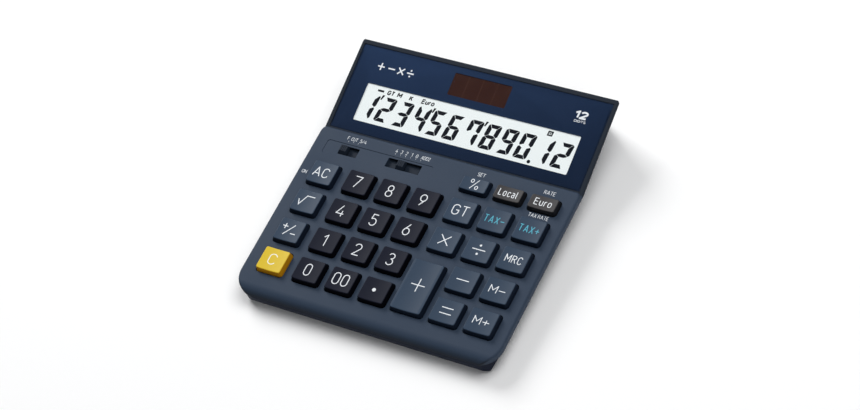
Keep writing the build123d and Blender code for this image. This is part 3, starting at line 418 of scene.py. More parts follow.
FINISHES = {
    # The case grey has painted shade on steep faces, except the right-hand walls, which are kept lit, and
    # painted shade on the display end behind the crease.
    "case_grey": moulded("case_grey_moulded", CASE_COLOUR, 0.56, grain_mm=0.30, relief_mm=0.016,
                         mottle=0.05, wear_and_highlight=0.15, edge_mm=0.35, rear_painted_shade=0.35,
                         painted_flank_shade=shade(CASE_COLOUR, 0.22), right_wall_shade_share=0.0),
    "case_grey_lower": moulded("lower_case_moulded", LOWER_COLOUR, 0.5, grain_mm=0.30, relief_mm=0.016,
                               wear_and_highlight=0.12, edge_mm=0.35, specular=0.08),
    "window_clear": clear_window("window_clear_sheet"),
    "panel_navy": printed_panel("panel_navy_print", PANEL_COLOUR),
    "lcd_glass": lcd_surface("lcd_pale_face"),
    "reflector_film": moulded("reflector_film", (0.62, 0.66, 0.63), 0.4, grain_mm=0.5, relief_mm=0.004),
    "holder_plastic": moulded("holder_natural", (0.62, 0.61, 0.57), 0.5, grain_mm=0.4, relief_mm=0.01),
    "flex_film": moulded("flex_amber", (0.42, 0.17, 0.03), 0.3, grain_mm=1.0, relief_mm=0.004),
    "solar_glass": solar_surface("solar_strips"),
    "lead_metal": metal("lead_tinned", (0.72, 0.72, 0.73), 0.35),
    "board_green": board_surface("board_resist", (0.018, 0.12, 0.045)),
    "keypad_rubber": moulded("keypad_silicone", (0.42, 0.42, 0.40), 0.65, grain_mm=0.6, relief_mm=0.01),
    "chip_resin": moulded("chip_resin", (0.01, 0.01, 0.011), 0.25, grain_mm=2.5, relief_mm=0.05),
    "component_ceramic": moulded("component_ceramic", (0.30, 0.20, 0.11), 0.5, grain_mm=0.2,
                                 relief_mm=0.01),
    "screw_steel": metal("screw_plated", (0.45, 0.45, 0.46), 0.32, (1, 1, 1), 0.5),
    "battery_steel": metal("battery_can", (0.68, 0.68, 0.68), 0.25, (1, 8, 1), 0.3),
    "contact_brass": metal("contact_strip", (0.72, 0.56, 0.26), 0.3, (10, 1, 1), 0.3),
    "foot_rubber": moulded("foot_rubber", (0.016, 0.016, 0.017), 0.75, grain_mm=0.5, relief_mm=0.03),
    "label_film": metal("label_foil", (0.58, 0.58, 0.60), 0.42, (14, 1, 1), 0.5),
    "knob_dark": moulded("knob_satin", (0.014, 0.021, 0.034), 0.42, grain_mm=0.25, relief_mm=0.008,
                         wear_and_highlight=0.1, edge_mm=0.1, specular=0.06),
    # The second colour of each key finish is painted shade on the key's flanks; on the yellow key that
    # painted shade is orange.
    "key_near_black": key_plastic("key_near_black", (0.011, 0.013, 0.024), (0.002, 0.002, 0.004), 0.05),
    "key_blue_grey": key_plastic("key_blue_grey", (0.032, 0.054, 0.090), (0.007, 0.012, 0.024)),
    "key_brown_grey": key_plastic("key_brown_grey", (0.052, 0.050, 0.052), (0.010, 0.011, 0.014)),
    "key_yellow": key_plastic("key_yellow", (0.70, 0.50, 0.030), (0.50, 0.22, 0.004)),
}
WHITE_INK = ink("ink_white", (0.80, 0.83, 0.86))
CYAN_INK = ink("ink_cyan", (0.10, 0.43, 0.56))
PALE_INK = ink("ink_pale", (0.90, 0.90, 0.78))
LCD_INK = ink("lcd_dark", (0.002, 0.002, 0.003), 0.35)

for part in frame["record"]["subparts"]:
    finish = FINISHES[part["material_slot"]]
    shown = NODES[part["node"]]
    if not shown.material_slots:
        shown.data.materials.append(finish)
    for material_slot in shown.material_slots:
        material_slot.material = finish


# ---- strokes: legends are ribbons laid on the surface they are printed on ----

# Points closer than this are one point.
SAME_POINT = 0.02
# A corner is sharp if its two runs make a smaller cosine than this.
SHARP_COSINE = 0.45
# How far a run goes past a sharp corner, in line widths.
CORNER_REACH = 0.45
# The least cosine used for a mitre, which limits how far a corner sticks out.
MITRE_COSINE = 0.38
# Markings that cross differ in height by this step, over this many levels.
LAYER_STEP = 0.002
LAYERS = 5
# Where the rays that find the surface start, above the working plane.
RAY_HEIGHT = 15.0


def bow(cx, cy, rx, ry, start, end, steps=12):
    """Points along an elliptical arc, in degrees."""
    points = []
    for step in range(steps + 1):
        angle = math.radians(start + (end - start) * step / steps)
        points.append((cx + rx * math.cos(angle), cy + ry * math.sin(angle)))
    return points


def closed(points):
    """A closed stroke."""
    return ("closed", points)


def stadium(cx, cy, rx, half_height, ry=None):
    """A closed upright oval with straight sides."""
    cap = rx if ry is None else ry
    top = bow(cx, cy + half_height - cap, rx, cap, 0, 180)
    bottom = bow(cx, cy - half_height + cap, rx, cap, 180, 360)
    return closed(top + bottom)


# Every glyph is (width, strokes) on a cap height of 1. A stroke is a list of points.
GLYPHS = {
    "0": (0.50, [stadium(0.25, 0.5, 0.25, 0.5, 0.27)]),
    "1": (0.26, [[(0.0, 0.76), (0.26, 1.0), (0.26, 0.0)]]),
    "2": (0.50, [bow(0.25, 0.735, 0.24, 0.265, 172, -28) + [(0.0, 0.0), (0.50, 0.0)]]),
    "3": (0.50, [bow(0.24, 0.765, 0.225, 0.235, 158, -90), bow(0.24, 0.265, 0.255, 0.265, 90, -158)]),
    "4": (0.56, [[(0.33, 1.0), (0.0, 0.25), (0.56, 0.25)], [(0.42, 0.52), (0.42, 0.0)]]),
    "5": (0.50, [[(0.46, 1.0), (0.08, 1.0), (0.05, 0.56)], bow(0.235, 0.32, 0.26, 0.32, 130, -155)]),
    "6": (0.50, [closed(bow(0.25, 0.30, 0.25, 0.30, 0, 345, 22)), [(0.38, 1.0), (0.04, 0.44)]]),
    "7": (0.52, [[(0.0, 1.0), (0.52, 1.0), (0.16, 0.0)]]),
    "8": (0.50, [closed(bow(0.25, 0.755, 0.215, 0.245, 0, 345, 22)),
                 closed(bow(0.25, 0.26, 0.25, 0.26, 0, 345, 22))]),
    "9": (0.50, [closed(bow(0.25, 0.70, 0.25, 0.30, 0, 345, 22)), [(0.12, 0.0), (0.46, 0.56)]]),
    "A": (0.60, [[(0.0, 0.0), (0.30, 1.0), (0.60, 0.0)], [(0.10, 0.31), (0.50, 0.31)]]),
    "C": (0.50, [bow(0.26, 0.73, 0.26, 0.27, 12, 180) + bow(0.26, 0.27, 0.26, 0.27, 180, 348)]),
    "D": (0.52, [[(0.0, 0.0), (0.0, 1.0), (0.24, 1.0)] + bow(0.24, 0.72, 0.28, 0.28, 85, 0)
                 + bow(0.24, 0.28, 0.28, 0.28, 0, -90) + [(0.0, 0.0)]]),
    "E": (0.46, [[(0.46, 0.0), (0.0, 0.0), (0.0, 1.0), (0.46, 1.0)], [(0.0, 0.52), (0.41, 0.52)]]),
    "F": (0.45, [[(0.0, 0.0), (0.0, 1.0), (0.45, 1.0)], [(0.0, 0.52), (0.40, 0.52)]]),
    "G": (0.54, [bow(0.27, 0.73, 0.27, 0.27, 15, 180) + bow(0.27, 0.27, 0.27, 0.27, 180, 360)
                 + [(0.54, 0.47), (0.30, 0.47)]]),
    "I": (0.02, [[(0.01, 0.0), (0.01, 1.0)]]),
    "K": (0.52, [[(0.0, 0.0), (0.0, 1.0)], [(0.49, 1.0), (0.0, 0.42)], [(0.17, 0.60), (0.52, 0.0)]]),
    "L": (0.44, [[(0.0, 1.0), (0.0, 0.0), (0.44, 0.0)]]),
    "M": (0.66, [[(0.0, 0.0), (0.0, 1.0), (0.33, 0.36), (0.66, 1.0), (0.66, 0.0)]]),
    "N": (0.52, [[(0.0, 0.0), (0.0, 1.0), (0.52, 0.0), (0.52, 1.0)]]),
    "O": (0.54, [stadium(0.27, 0.5, 0.27, 0.5)]),
    "R": (0.52, [[(0.0, 0.0), (0.0, 1.0), (0.26, 1.0)] + bow(0.26, 0.765, 0.235, 0.235, 85, -90)
                 + [(0.0, 0.53)], [(0.25, 0.53), (0.52, 0.0)]]),
    "S": (0.48, [bow(0.24, 0.755, 0.225, 0.245, 20, 270) + bow(0.24, 0.255, 0.24, 0.255, 85, -160)]),
    "T": (0.54, [[(0.0, 1.0), (0.54, 1.0)], [(0.27, 1.0), (0.27, 0.0)]]),
    "U": (0.52, [[(0.0, 1.0)] + bow(0.26, 0.26, 0.26, 0.26, 180, 360) + [(0.52, 1.0)]]),
    "X": (0.56, [[(0.0, 0.0), (0.56, 1.0)], [(0.0, 1.0), (0.56, 0.0)]]),
    "a": (0.42, [bow(0.20, 0.52, 0.20, 0.20, 155, 0) + [(0.40, 0.0)],
                 [(0.40, 0.42), (0.20, 0.42)] + bow(0.19, 0.21, 0.19, 0.21, 95, 265) + [(0.40, 0.02)]]),
    "c": (0.38, [bow(0.20, 0.51, 0.20, 0.21, 20, 180) + bow(0.20, 0.21, 0.20, 0.21, 180, 340)]),
    "l": (0.14, [[(0.0, 1.0)] + bow(0.13, 0.13, 0.13, 0.13, 180, 265)]),
    "o": (0.42, [stadium(0.21, 0.36, 0.21, 0.36)]),
    "r": (0.26, [[(0.0, 0.0), (0.0, 0.72)], bow(0.22, 0.46, 0.22, 0.26, 175, 85)]),
    "u": (0.40, [[(0.0, 0.72)] + bow(0.20, 0.20, 0.20, 0.20, 180, 355) + [(0.40, 0.24)],
                 [(0.40, 0.72), (0.40, 0.0)]]),
    "-": (0.62, [[(0.0, 0.46), (0.62, 0.46)]]),
    "+": (0.64, [[(0.0, 0.46), (0.64, 0.46)], [(0.32, 0.12), (0.32, 0.80)]]),
    "/": (0.36, [[(0.0, 0.0), (0.36, 1.0)]]),
    " ": (0.10, []),
}


def lined(points, step):
    """A stroke's points with long runs divided, so that it can follow a curved surface."""
    result = [Vector(points[0])]
    for first, second in zip(points, points[1:]):
        start, end = Vector(first), Vector(second)
        parts = max(1, math.ceil((end - start).length / step))
        for part in range(1, parts + 1):
            result.append(start.lerp(end, part / parts))
    return result


def cleaned(points):
    """Points with near-repeats dropped."""
    result = []
    for point in points:
        if not result or (point - result[-1]).length > SAME_POINT:
            result.append(point)
    return result


def runs(points):
    """A stroke cut at its sharp corners, each piece carried half a line past the corner."""
    result = [[Vector(points[0])]]
    for before, point, after in zip(points, points[1:], points[2:]):
        into = (Vector(point) - Vector(before)).normalized()
        out = (Vector(after) - Vector(point)).normalized()
        result[-1].append(Vector(point))
        if into.dot(out) < SHARP_COSINE:
            result.append([Vector(point)])
    result[-1].append(Vector(points[-1]))
    return result


class Print:
    """Flat markings on one surface of the model, raised by the thickness of their ink."""

    def __init__(self, plane, node, lift=0.03, sink=0.02):
        mesh = NODES[node].data
        corners = [v.co.copy() for v in mesh.vertices]
        faces = [tuple(p.vertices) for p in mesh.polygons]
        self.tree = BVHTree.FromPolygons(corners, faces)
        self.plane = plane
        self.lift = lift
        self.sink = sink
        self.layer = 0
        self.points = []
        self.faces = []

    def drop(self, x, y, above):
        """The surface under (x, y), raised along the plane's normal."""
        start = self.plane.at(x, y, RAY_HEIGHT)
        found = self.tree.ray_cast(start, -self.plane.normal)[0]
        if found is None:
            found = self.plane.at(x, y, 0.0)
        return found + self.plane.normal * above * MM

    def next_top(self):
        """The height of the next marking's top, a little off its neighbours' tops."""
        top = self.lift + LAYER_STEP * self.layer
        self.layer = (self.layer + 1) % LAYERS
        return top

    def slab(self, outline):
        """A filled convex outline."""
        top = self.next_top()
        first = len(self.points)
        count = len(outline)
        self.points += [self.drop(x, y, top) for x, y in outline]
        self.points += [self.drop(x, y, -self.sink) for x, y in outline]
        self.faces.append([first + i for i in range(count)])
        for i in range(count):
            j = (i + 1) % count
            self.faces.append([first + count + i, first + count + j, first + j, first + i])

    def line(self, points, width):
        """An open stroke whose sharp corners are square."""
        pieces = runs(cleaned([Vector(p) for p in points]))
        for index, piece in enumerate(pieces):
            if index > 0:
                piece[0] = piece[0] - (piece[1] - piece[0]).normalized() * CORNER_REACH * width
            if index < len(pieces) - 1:
                piece[-1] = piece[-1] + (piece[-1] - piece[-2]).normalized() * CORNER_REACH * width
            self.stroke(piece, width)

    def stroke(self, points, width, is_closed=False, step=1.4):
        """A ribbon of constant width with mitred corners and square ends."""
        run = list(points) + ([points[0]] if is_closed else [])
        line = cleaned(lined(run, step))
        if is_closed:
            line.pop()
        count = len(line)
        half = width / 2
        top = self.next_top()
        first = len(self.points)
        for i, point in enumerate(line):
            before = line[i - 1] if i > 0 or is_closed else None
            after = line[(i + 1) % count] if i < count - 1 or is_closed else None
            into = (point - before).normalized() if before is not None else None
            out = (after - point).normalized() if after is not None else None
            into = out if into is None else into
            out = into if out is None else out
            middle = (into + out).normalized()
            side = Vector((-middle.y, middle.x))
            reach = half / max(MITRE_COSINE, side.dot(Vector((-into.y, into.x))))
            for x, y, above in (
                (*(point + side * reach), top),
                (*(point - side * reach), top),
                (*(point - side * reach), -self.sink),
                (*(point + side * reach), -self.sink),
            ):
                self.points.append(self.drop(x, y, above))
        spans = count if is_closed else count - 1
        for i in range(spans):
            a = first + 4 * i
            b = first + 4 * ((i + 1) % count)
            for side in range(4):
                other = (side + 1) % 4
                self.faces.append([a + side, a + other, b + other, b + side])
        if not is_closed:
            last = first + 4 * (count - 1)
            self.faces.append([first + 3, first + 2, first + 1, first])
            self.faces.append([last, last + 1, last + 2, last + 3])

    def disc(self, x, y, radius, steps=28):
        """A round dot."""
        self.slab(bow(x, y, radius, radius, 0, 360 - 360 / steps, steps - 1))

    def text(self, words, x, y, height, width=None, line=0.6, tracking=0.16, lean=0.0):
        """Words centred on (x, y), with a cap height and, if given, a total width."""
        scale = height - line
        natural = sum(GLYPHS[c][0] for c in words) * scale
        gaps = len(words) - 1
        if width is None:
            stretch = 1.0
            gap = (tracking * height) + line if gaps else 0.0
        else:
            gap = tracking * height + line
            stretch = (width - line - gaps * gap) / max(natural, 0.01)
        total = natural * stretch + gaps * gap
        left = x - total / 2
        for letter in words:
            letter_width, strokes = GLYPHS[letter]
            for item in strokes:
                is_closed = isinstance(item, tuple)
                points = item[1] if is_closed else item
                placed = [
                    (left + (px * stretch + lean * (py - 0.5)) * scale, y + (py - 0.5) * scale)
                    for px, py in points
                ]
                if is_closed:
                    self.stroke(placed, line, True)
                else:
                    self.line(placed, line)
            left += letter_width * scale * stretch + gap

    def build(self, name, body, material):
        """Makes the piece, with its faces turned outwards, and puts it on its body."""
        mesh = bpy.data.meshes.new(name)
        mesh.from_pydata(self.points, [], self.faces)
        mesh.update()
        piece = bpy.data.objects.new(name, mesh)
        bpy.context.scene.collection.objects.link(piece)
        mesh.materials.append(material)
        turn_outwards(mesh)
        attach(piece, body)
        return piece


def turn_outwards(mesh):
    """Makes every face's normal point out of its own closed piece."""
    shell = bmesh.new()
    shell.from_mesh(mesh)
    bmesh.ops.recalc_face_normals(shell, faces=shell.faces)
    shell.to_mesh(mesh)
    shell.free()


# ---- key legends ----

def key_middle(node):
    """The middle of a key on the deck plane."""
    low_x, high_x = DECK.spread(node, DECK.across)
    low_y, high_y = DECK.spread(node, DECK.up)
    deck_y = DECK.origin.dot(DECK.up) / MM
    return (low_x + high_x) / 2, (low_y + high_y) / 2 - deck_y


LEGEND_LINE = 0.50
SMALL_LEGEND_LINE = 0.42
# Legends of this cap height or less get the small line.
SMALL_CAP = 5.0
# key: (word, cap height, total width, shift across, shift up)
WORDS = {
    "key_ac": ("AC", 5.8, 8.8, -0.8, 0.2),
    "key_c": ("C", 6.4, 4.3, -0.5, 0.2),
    "key_7": ("7", 7.0, 4.4, -0.5, 0.2),
    "key_8": ("8", 7.0, 3.9, -0.5, 0.2),
    "key_9": ("9", 7.0, 3.9, -0.5, 0.2),
    "key_4": ("4", 7.0, 4.7, -0.5, 0.2),
    "key_5": ("5", 7.0, 4.0, -0.5, 0.2),
    "key_6": ("6", 7.0, 3.9, -0.5, 0.2),
    "key_1": ("1", 7.0, 2.2, -0.5, 0.2),
    "key_2": ("2", 7.0, 4.1, -0.5, 0.2),
    "key_3": ("3", 7.0, 4.0, -0.5, 0.2),
    "key_0": ("0", 7.0, 3.8, -0.5, 0.2),
    "key_00": ("00", 7.0, 8.9, -0.5, 0.2),
    "key_local": ("Local", 4.1, 10.6, 0.0, 0.2),
    "key_euro": ("Euro", 4.0, 9.6, 0.0, 0.2),
    "key_gt": ("GT", 6.1, 9.0, 0.0, 0.2),
    "key_tax_minus": ("TAX-", 4.2, 11.5, 0.0, 0.2),
    "key_tax_plus": ("TAX+", 4.2, 11.5, 0.0, 0.2),
    "key_mrc": ("MRC", 4.4, 9.2, 0.0, 0.2),
    "key_m_minus": ("M-", 4.4, 9.0, 0.0, 0.2),
    "key_m_plus": ("M+", 4.4, 9.0, 0.0, 0.2),
}


def cross(sheet, x, y, half, line, turn=0.0):
    """A plus sign, or a times sign when turned by 45 degrees."""
    for angle in (turn, turn + 90.0):
        dx = half * math.cos(math.radians(angle))
        dy = half * math.sin(math.radians(angle))
        sheet.stroke([(x - dx, y - dy), (x + dx, y + dy)], line)


def dash(sheet, x, y, half, line):
    """A level stroke."""
    sheet.stroke([(x - half, y), (x + half, y)], line)


ROOT_POINTS = ((-4.0, 0.2), (-2.9, -2.8), (-0.3, 2.9), (4.3, 2.9))
SIGN_SLASH = ((-2.4, -3.3), (2.3, 3.3))
SIGN_PLUS_AT = (-2.9, 1.7)
SIGN_MINUS_AT = (3.0, -1.9)
SIGN_MARK_HALF = 1.5
POINT_R = 1.0
PERCENT_SLASH = ((-1.7, -2.9), (1.7, 2.9))
PERCENT_RING_OFFSET = 1.75
PERCENT_RING_R = (0.75, 0.95)
KEY_TIMES_HALF = 3.9
KEY_DIVIDE_HALF = 3.65
KEY_DIVIDE_DOT = (2.5, 0.62)
KEY_MINUS_HALF = 3.45
KEY_EQUALS_HALF = 3.2
KEY_EQUALS_OFFSET = 1.6
KEY_PLUS_HALF = 3.8


def key_sign_legend(node, sheet, x, y):
    """The keys whose legend is a sign."""
    if node == "key_root":
        sheet.stroke([(x + dx, y + dy) for dx, dy in ROOT_POINTS], LEGEND_LINE)
    elif node == "key_sign":
        cross(sheet, x + SIGN_PLUS_AT[0], y + SIGN_PLUS_AT[1], SIGN_MARK_HALF, LEGEND_LINE)
        sheet.stroke([(x + dx, y + dy) for dx, dy in SIGN_SLASH], LEGEND_LINE)
        dash(sheet, x + SIGN_MINUS_AT[0], y + SIGN_MINUS_AT[1], SIGN_MARK_HALF, LEGEND_LINE)
    elif node == "key_point":
        sheet.disc(x, y, POINT_R)
    elif node == "key_percent":
        sheet.stroke([(x + dx, y + dy) for dx, dy in PERCENT_SLASH], SMALL_LEGEND_LINE)
        for offset in (-PERCENT_RING_OFFSET, PERCENT_RING_OFFSET):
            ring = bow(x + offset, y - offset, *PERCENT_RING_R, 0, 345, 20)
            sheet.stroke(ring, SMALL_LEGEND_LINE, True)
    elif node == "key_times":
        cross(sheet, x, y, KEY_TIMES_HALF, LEGEND_LINE, 45.0)
    elif node == "key_divide":
        offset, radius = KEY_DIVIDE_DOT
        dash(sheet, x, y, KEY_DIVIDE_HALF, LEGEND_LINE)
        sheet.disc(x, y + offset, radius)
        sheet.disc(x, y - offset, radius)
    elif node == "key_minus":
        dash(sheet, x, y, KEY_MINUS_HALF, LEGEND_LINE)
    elif node == "key_equals":
        dash(sheet, x, y + KEY_EQUALS_OFFSET, KEY_EQUALS_HALF, LEGEND_LINE)
        dash(sheet, x, y - KEY_EQUALS_OFFSET, KEY_EQUALS_HALF, LEGEND_LINE)
    elif node == "key_plus":
        cross(sheet, x, y, KEY_PLUS_HALF, LEGEND_LINE)


# key: (shift across, shift up)
SIGNS = {
    "key_root": (-0.5, 0.2),
    "key_sign": (-0.5, 0.2),
    "key_point": (-0.5, 0.0),
    "key_percent": (0.0, 0.2),
    "key_times": (0.0, 0.2),
    "key_divide": (0.0, 0.2),
    "key_minus": (0.0, 0.2),
    "key_equals": (0.0, 0.2),
    "key_plus": (0.2, 0.8),
}


def legend_ink(node):
    """Cyan on the two tax keys, pale on the yellow key, white elsewhere."""
    if node.startswith("key_tax"):
        return CYAN_INK
    if node == "key_c":
        return PALE_INK
    return WHITE_INK


def make_legends():
    """One legend for each key, riding on that key."""
    for node, (word, height, width, shift_x, shift_y) in WORDS.items():
        x, y = key_middle(node)
        sheet = Print(DECK, node)
        line = LEGEND_LINE if height > SMALL_CAP else SMALL_LEGEND_LINE
        sheet.text(word, x + shift_x, y + shift_y, height, width, line)
        sheet.build("legend_" + node[4:], node, legend_ink(node))
    for node, (shift_x, shift_y) in SIGNS.items():
        x, y = key_middle(node)
        sheet = Print(DECK, node)
        key_sign_legend(node, sheet, x + shift_x, y + shift_y)
        sheet.build("legend_" + node[4:], node, legend_ink(node))


make_legends()


# ---- prints on the deck ----

SWITCH_LINE = 0.2
SWITCH_CAP = 2.1
SWITCH_WORDS_Y = 43.05
TICK_LINE = 0.16
TICK_Y = (40.9, 41.5)
ROUNDING_TICKS = (-56.85, -54.0, -51.1)
DECIMAL_TICKS = (-28.65, -25.75, -22.75, -19.75, -16.75, -13.75)
WORD_LINE = 0.22
# (word, x, total width, tracking) over the switches
ROUNDING_WORDS = [("F", -57.8, None, 0.16), ("CUT", -54.15, 3.7, 0.10), ("5/4", -48.9, 4.0, 0.10)]
DECIMAL_WORDS = [(digit, x, None, 0.16) for digit, x in zip("43210", DECIMAL_TICKS)]
DECIMAL_WORDS += [("ADD2", -11.6, 5.2, 0.10)]
# (word, x, y, cap height, total width, tracking) beside the keys
DECK_WORDS = (("SET", 21.4, 42.2, 2.3, 4.3, 0.10), ("RATE", 60.1, 42.2, 2.3, 6.3, 0.10),
              ("TAX RATE", 60.4, 27.9, 2.2, 11.2, 0.08), ("ON", -71.3, 17.8, 2.0, 2.9, 0.10))


def make_deck_print():
    """The small words and marks beside the switches and keys."""
    sheet = Print(DECK, "upper_housing", 0.02)
    for words, ticks in ((ROUNDING_WORDS, ROUNDING_TICKS), (DECIMAL_WORDS, DECIMAL_TICKS)):
        for word, x, width, tracking in words:
            sheet.text(word, x, SWITCH_WORDS_Y, SWITCH_CAP, width, SWITCH_LINE, tracking)
        for x in ticks:
            sheet.stroke([(x, y) for y in TICK_Y], TICK_LINE)
    for word, x, y, height, width, tracking in DECK_WORDS:
        sheet.text(word, x, y, height, width, WORD_LINE, tracking)
    sheet.build("deck_print", "case", WHITE_INK)


make_deck_print()


# ---- prints behind the display window ----

SIGN_LINE = 0.75
SIGN_HALF = 2.0
SIGN_Y = 39.3
SIGN_X = {"plus": -58.6, "minus": -52.3, "times": -46.6, "divide": -41.0}
TIMES_HALF = 2.5
DIVIDE_DOT_R = 0.5
DIVIDE_DOT_OFFSET = 1.65
# (word, x, y, cap height, total width, line, tracking, lean)
COUNT_WORDS = (("12", 58.4, 39.9, 4.4, 7.4, 1.0, 0.12, 0.1),
               ("DIGITS", 58.9, 36.4, 1.3, 6.4, 0.22, 0.10, 0.0))


def make_panel_print():
    """A row of arithmetic signs and the digit count, printed on the panel's ink."""
    sheet = Print(PANEL, "display_mask", 0.02)
    cross(sheet, SIGN_X["plus"], SIGN_Y, SIGN_HALF, SIGN_LINE)
    dash(sheet, SIGN_X["minus"], SIGN_Y, SIGN_HALF, SIGN_LINE)
    cross(sheet, SIGN_X["times"], SIGN_Y, TIMES_HALF, SIGN_LINE, 45.0)
    dash(sheet, SIGN_X["divide"], SIGN_Y, SIGN_HALF, SIGN_LINE)
    for offset in (DIVIDE_DOT_OFFSET, -DIVIDE_DOT_OFFSET):
        sheet.disc(SIGN_X["divide"], SIGN_Y + offset, DIVIDE_DOT_R)
    for words in COUNT_WORDS:
        sheet.text(*words)
    sheet.build("panel_print", "case", WHITE_INK)


make_panel_print()


# ---- liquid-crystal figures ----

# A digit's height, width, upright and level bars, and the gaps between bars.
BASE_S = 9.9
DIGIT_HEIGHT = 13.9
DIGIT_WIDTH = 7.6
UPRIGHT = 2.45
BAR = 2.05
BAR_GAP = 0.12
SLANT = math.tan(math.radians(8.2))
# The lit bars of each figure, lettered clockwise from the top with g in the middle.
LIT = {
    "0": "abcdef", "1": "bc", "2": "abged", "3": "abgcd", "4": "fgbc",
    "5": "afgcd", "6": "afgedc", "7": "abcf", "8": "abcdefg", "9": "abcdfg",
}
FIGURES = "123456789012"
# The right edge of each figure's place, and the gap between a figure and that edge.
RIGHT_EDGES = (-52.4, -42.2, -31.9, -21.3, -11.9, -1.6, 9.4, 19.7, 29.9, 39.9, 50.5, 60.8)
EDGE_GAP = 0.4
SEPARATORS_X = (-50.8, -19.95, 10.9)
SEPARATOR = ((-0.9, 21.8), (-0.1, 21.8), (0.95, 24.5), (-0.3, 24.5))
# x, y and radius
POINT = (40.7, 9.5, 0.95)
MINUS_ENDS = ((-55.1, 26.4), (-51.4, 26.4))
MINUS_LINE = 1.1
ICON_FRAME = ((45.0, 25.6), (47.2, 25.6), (47.4, 27.6), (45.2, 27.6))
ICON_LINE = 0.75
ICON_DOT = (46.2, 26.6, 0.45)
INDICATOR_Y = 26.45
INDICATOR_CAP = 2.7
# (word, x, total width, line, tracking) along the top of the display
INDICATORS = (("GT", -47.1, 4.2, 0.62, 0.08), ("M", -41.9, 2.7, 0.62, 0.1), ("K", -34.95, 2.1, 0.62, 0.1),
              ("Euro", -24.8, 7.5, 0.58, 0.06))


def segment(letter):
    """A segment's outline in an upright digit whose corner is (0, 0)."""
    w, h, t, u, g = DIGIT_WIDTH, DIGIT_HEIGHT, BAR, UPRIGHT, BAR_GAP
    m = h / 2
    top = [(0.9, h), (w - 0.9, h), (w - u + 0.2, h - t), (u - 0.2, h - t)]
    middle = [(0.8, m), (u, m + 0.45 * t), (w - u, m + 0.45 * t), (w - 0.8, m), (w - u, m - 0.45 * t),
              (u, m - 0.45 * t)]
    upper_left = [(0.7, h - g), (u - 0.3, h - t - g), (u, h - t - 0.6), (u, m + 0.5 * t + g), (0.7, m + g),
                  (0, m + 0.9), (0, h - 0.9)]
    flipped = {
        "a": (top, 1, 1),
        "d": (top, 1, -1),
        "g": (middle, 1, 1),
        "f": (upper_left, 1, 1),
        "b": (upper_left, -1, 1),
        "e": (upper_left, 1, -1),
        "c": (upper_left, -1, -1),
    }
    outline, side, way = flipped[letter]
    return [(x if side > 0 else w - x, y if way > 0 else h - y) for x, y in outline]


def slanted(points, left, bottom):
    """Points of an upright shape leaned over and put in place."""
    return [(left + x + SLANT * (y - DIGIT_HEIGHT / 2), bottom + y) for x, y in points]


def make_figures():
    """The figures, the separators and the indicators of the display."""
    sheet = Print(PANEL, "lcd_cell", 0.03)
    for figure, right in zip(FIGURES, RIGHT_EDGES):
        for letter in LIT[figure]:
            sheet.slab(slanted(segment(letter), right - EDGE_GAP - DIGIT_WIDTH, BASE_S))
    for x in SEPARATORS_X:
        sheet.slab([(x + dx, y) for dx, y in SEPARATOR])
    sheet.disc(*POINT)
    sheet.stroke(MINUS_ENDS, MINUS_LINE)
    for word, x, width, line, tracking in INDICATORS:
        sheet.text(word, x, INDICATOR_Y, INDICATOR_CAP, width, line, tracking, SLANT)
    sheet.stroke(ICON_FRAME, ICON_LINE, True)
    sheet.disc(*ICON_DOT)
    sheet.build("lcd_figures", "case", LCD_INK)


make_figures()


# ---- floor, light and camera ----

FLOOR_HALF = 4.0
FLOOR_COLOUR = (0.97, 0.97, 0.97, 1.0)
WORLD_COLOUR = (0.93, 0.96, 1.0, 1.0)
WORLD_STRENGTH = 0.14
# name: (size, power, place), in metres and watts, each light aimed at the object
LIGHTS = {
    "key_light": ((0.9, 0.9), 26.0, (-1.3, 0.9, 1.2)),
    "top_light": ((1.4, 1.4), 24.0, (0.6, 0.5, 1.8)),
    "fill_light": ((1.2, 0.8), 4.0, (0.9, -1.2, 0.9)),
}
# The camera on the deck's frame: a place in millimetres, a turn in degrees and a lens on a sensor.
CAMERA_PLACE = (557.310, -486.499, 975.984)
CAMERA_TURN = (34.6987, 15.2541, 26.8570)
CAMERA_LENS = 102.983
CAMERA_SENSOR = 36.0


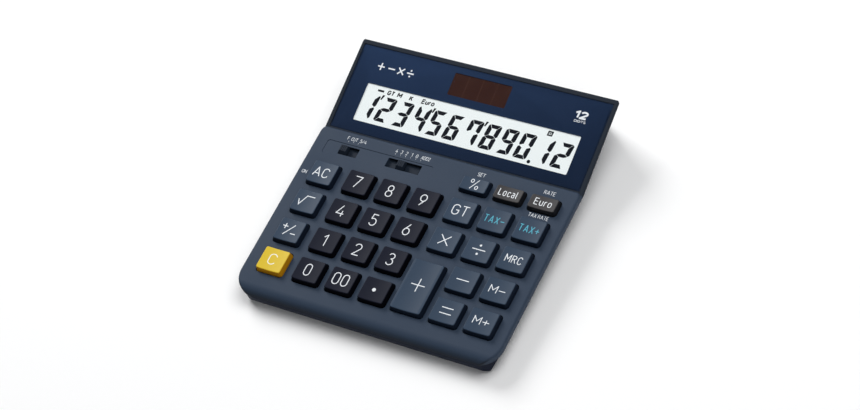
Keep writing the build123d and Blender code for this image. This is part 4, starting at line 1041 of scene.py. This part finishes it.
def make_floor():
    """A plain pale table top."""
    corners = [(x * FLOOR_HALF, y * FLOOR_HALF, 0) for x, y in ((-1, -1), (1, -1), (1, 1), (-1, 1))]
    mesh = bpy.data.meshes.new("floor")
    mesh.from_pydata(corners, [], [(0, 1, 2, 3)])
    floor = bpy.data.objects.new("floor", mesh)
    bpy.context.scene.collection.objects.link(floor)
    material, nodes, links = graph("floor_pale")
    shader = nodes["Principled BSDF"]
    shader.inputs["Base Color"].default_value = FLOOR_COLOUR
    shader.inputs["Roughness"].default_value = 0.9
    shader.inputs["Specular IOR Level"].default_value = 0.1
    mesh.materials.append(material)


def area_light(name, size, power, place):
    """A soft white rectangular light aimed at the object."""
    data = bpy.data.lights.new(name, "AREA")
    data.shape = "RECTANGLE"
    data.size, data.size_y = size
    data.energy = power
    lamp = bpy.data.objects.new(name, data)
    bpy.context.scene.collection.objects.link(lamp)
    lamp.location = place
    lamp.rotation_euler = (-Vector(place)).to_track_quat("-Z", "Y").to_euler()


def make_light():
    """A dim white room, large soft lights from the rear left and above, and a weak one in front."""
    world = bpy.data.worlds.new("studio")
    world.use_nodes = True
    background = world.node_tree.nodes["Background"]
    background.inputs["Color"].default_value = WORLD_COLOUR
    background.inputs["Strength"].default_value = WORLD_STRENGTH
    bpy.context.scene.world = world
    for name, (size, power, place) in LIGHTS.items():
        area_light(name, size, power, place)


def make_camera():
    """A long lens that looks down from the right, placed from the key deck."""
    data = bpy.data.cameras.new("camera")
    data.sensor_width = CAMERA_SENSOR
    data.lens = CAMERA_LENS
    data.clip_start = 0.05
    data.clip_end = 20.0
    camera = bpy.data.objects.new("camera", data)
    bpy.context.scene.collection.objects.link(camera)
    turn = Euler([math.radians(angle) for angle in CAMERA_TURN], "XYZ").to_matrix().to_4x4()
    place = Matrix.Translation(Vector(CAMERA_PLACE) * MM)
    camera.matrix_world = DECK.matrix() @ place @ turn
    bpy.context.scene.camera = camera


make_floor()
make_light()
make_camera()
bpy.context.scene.view_settings.view_transform = "Standard"
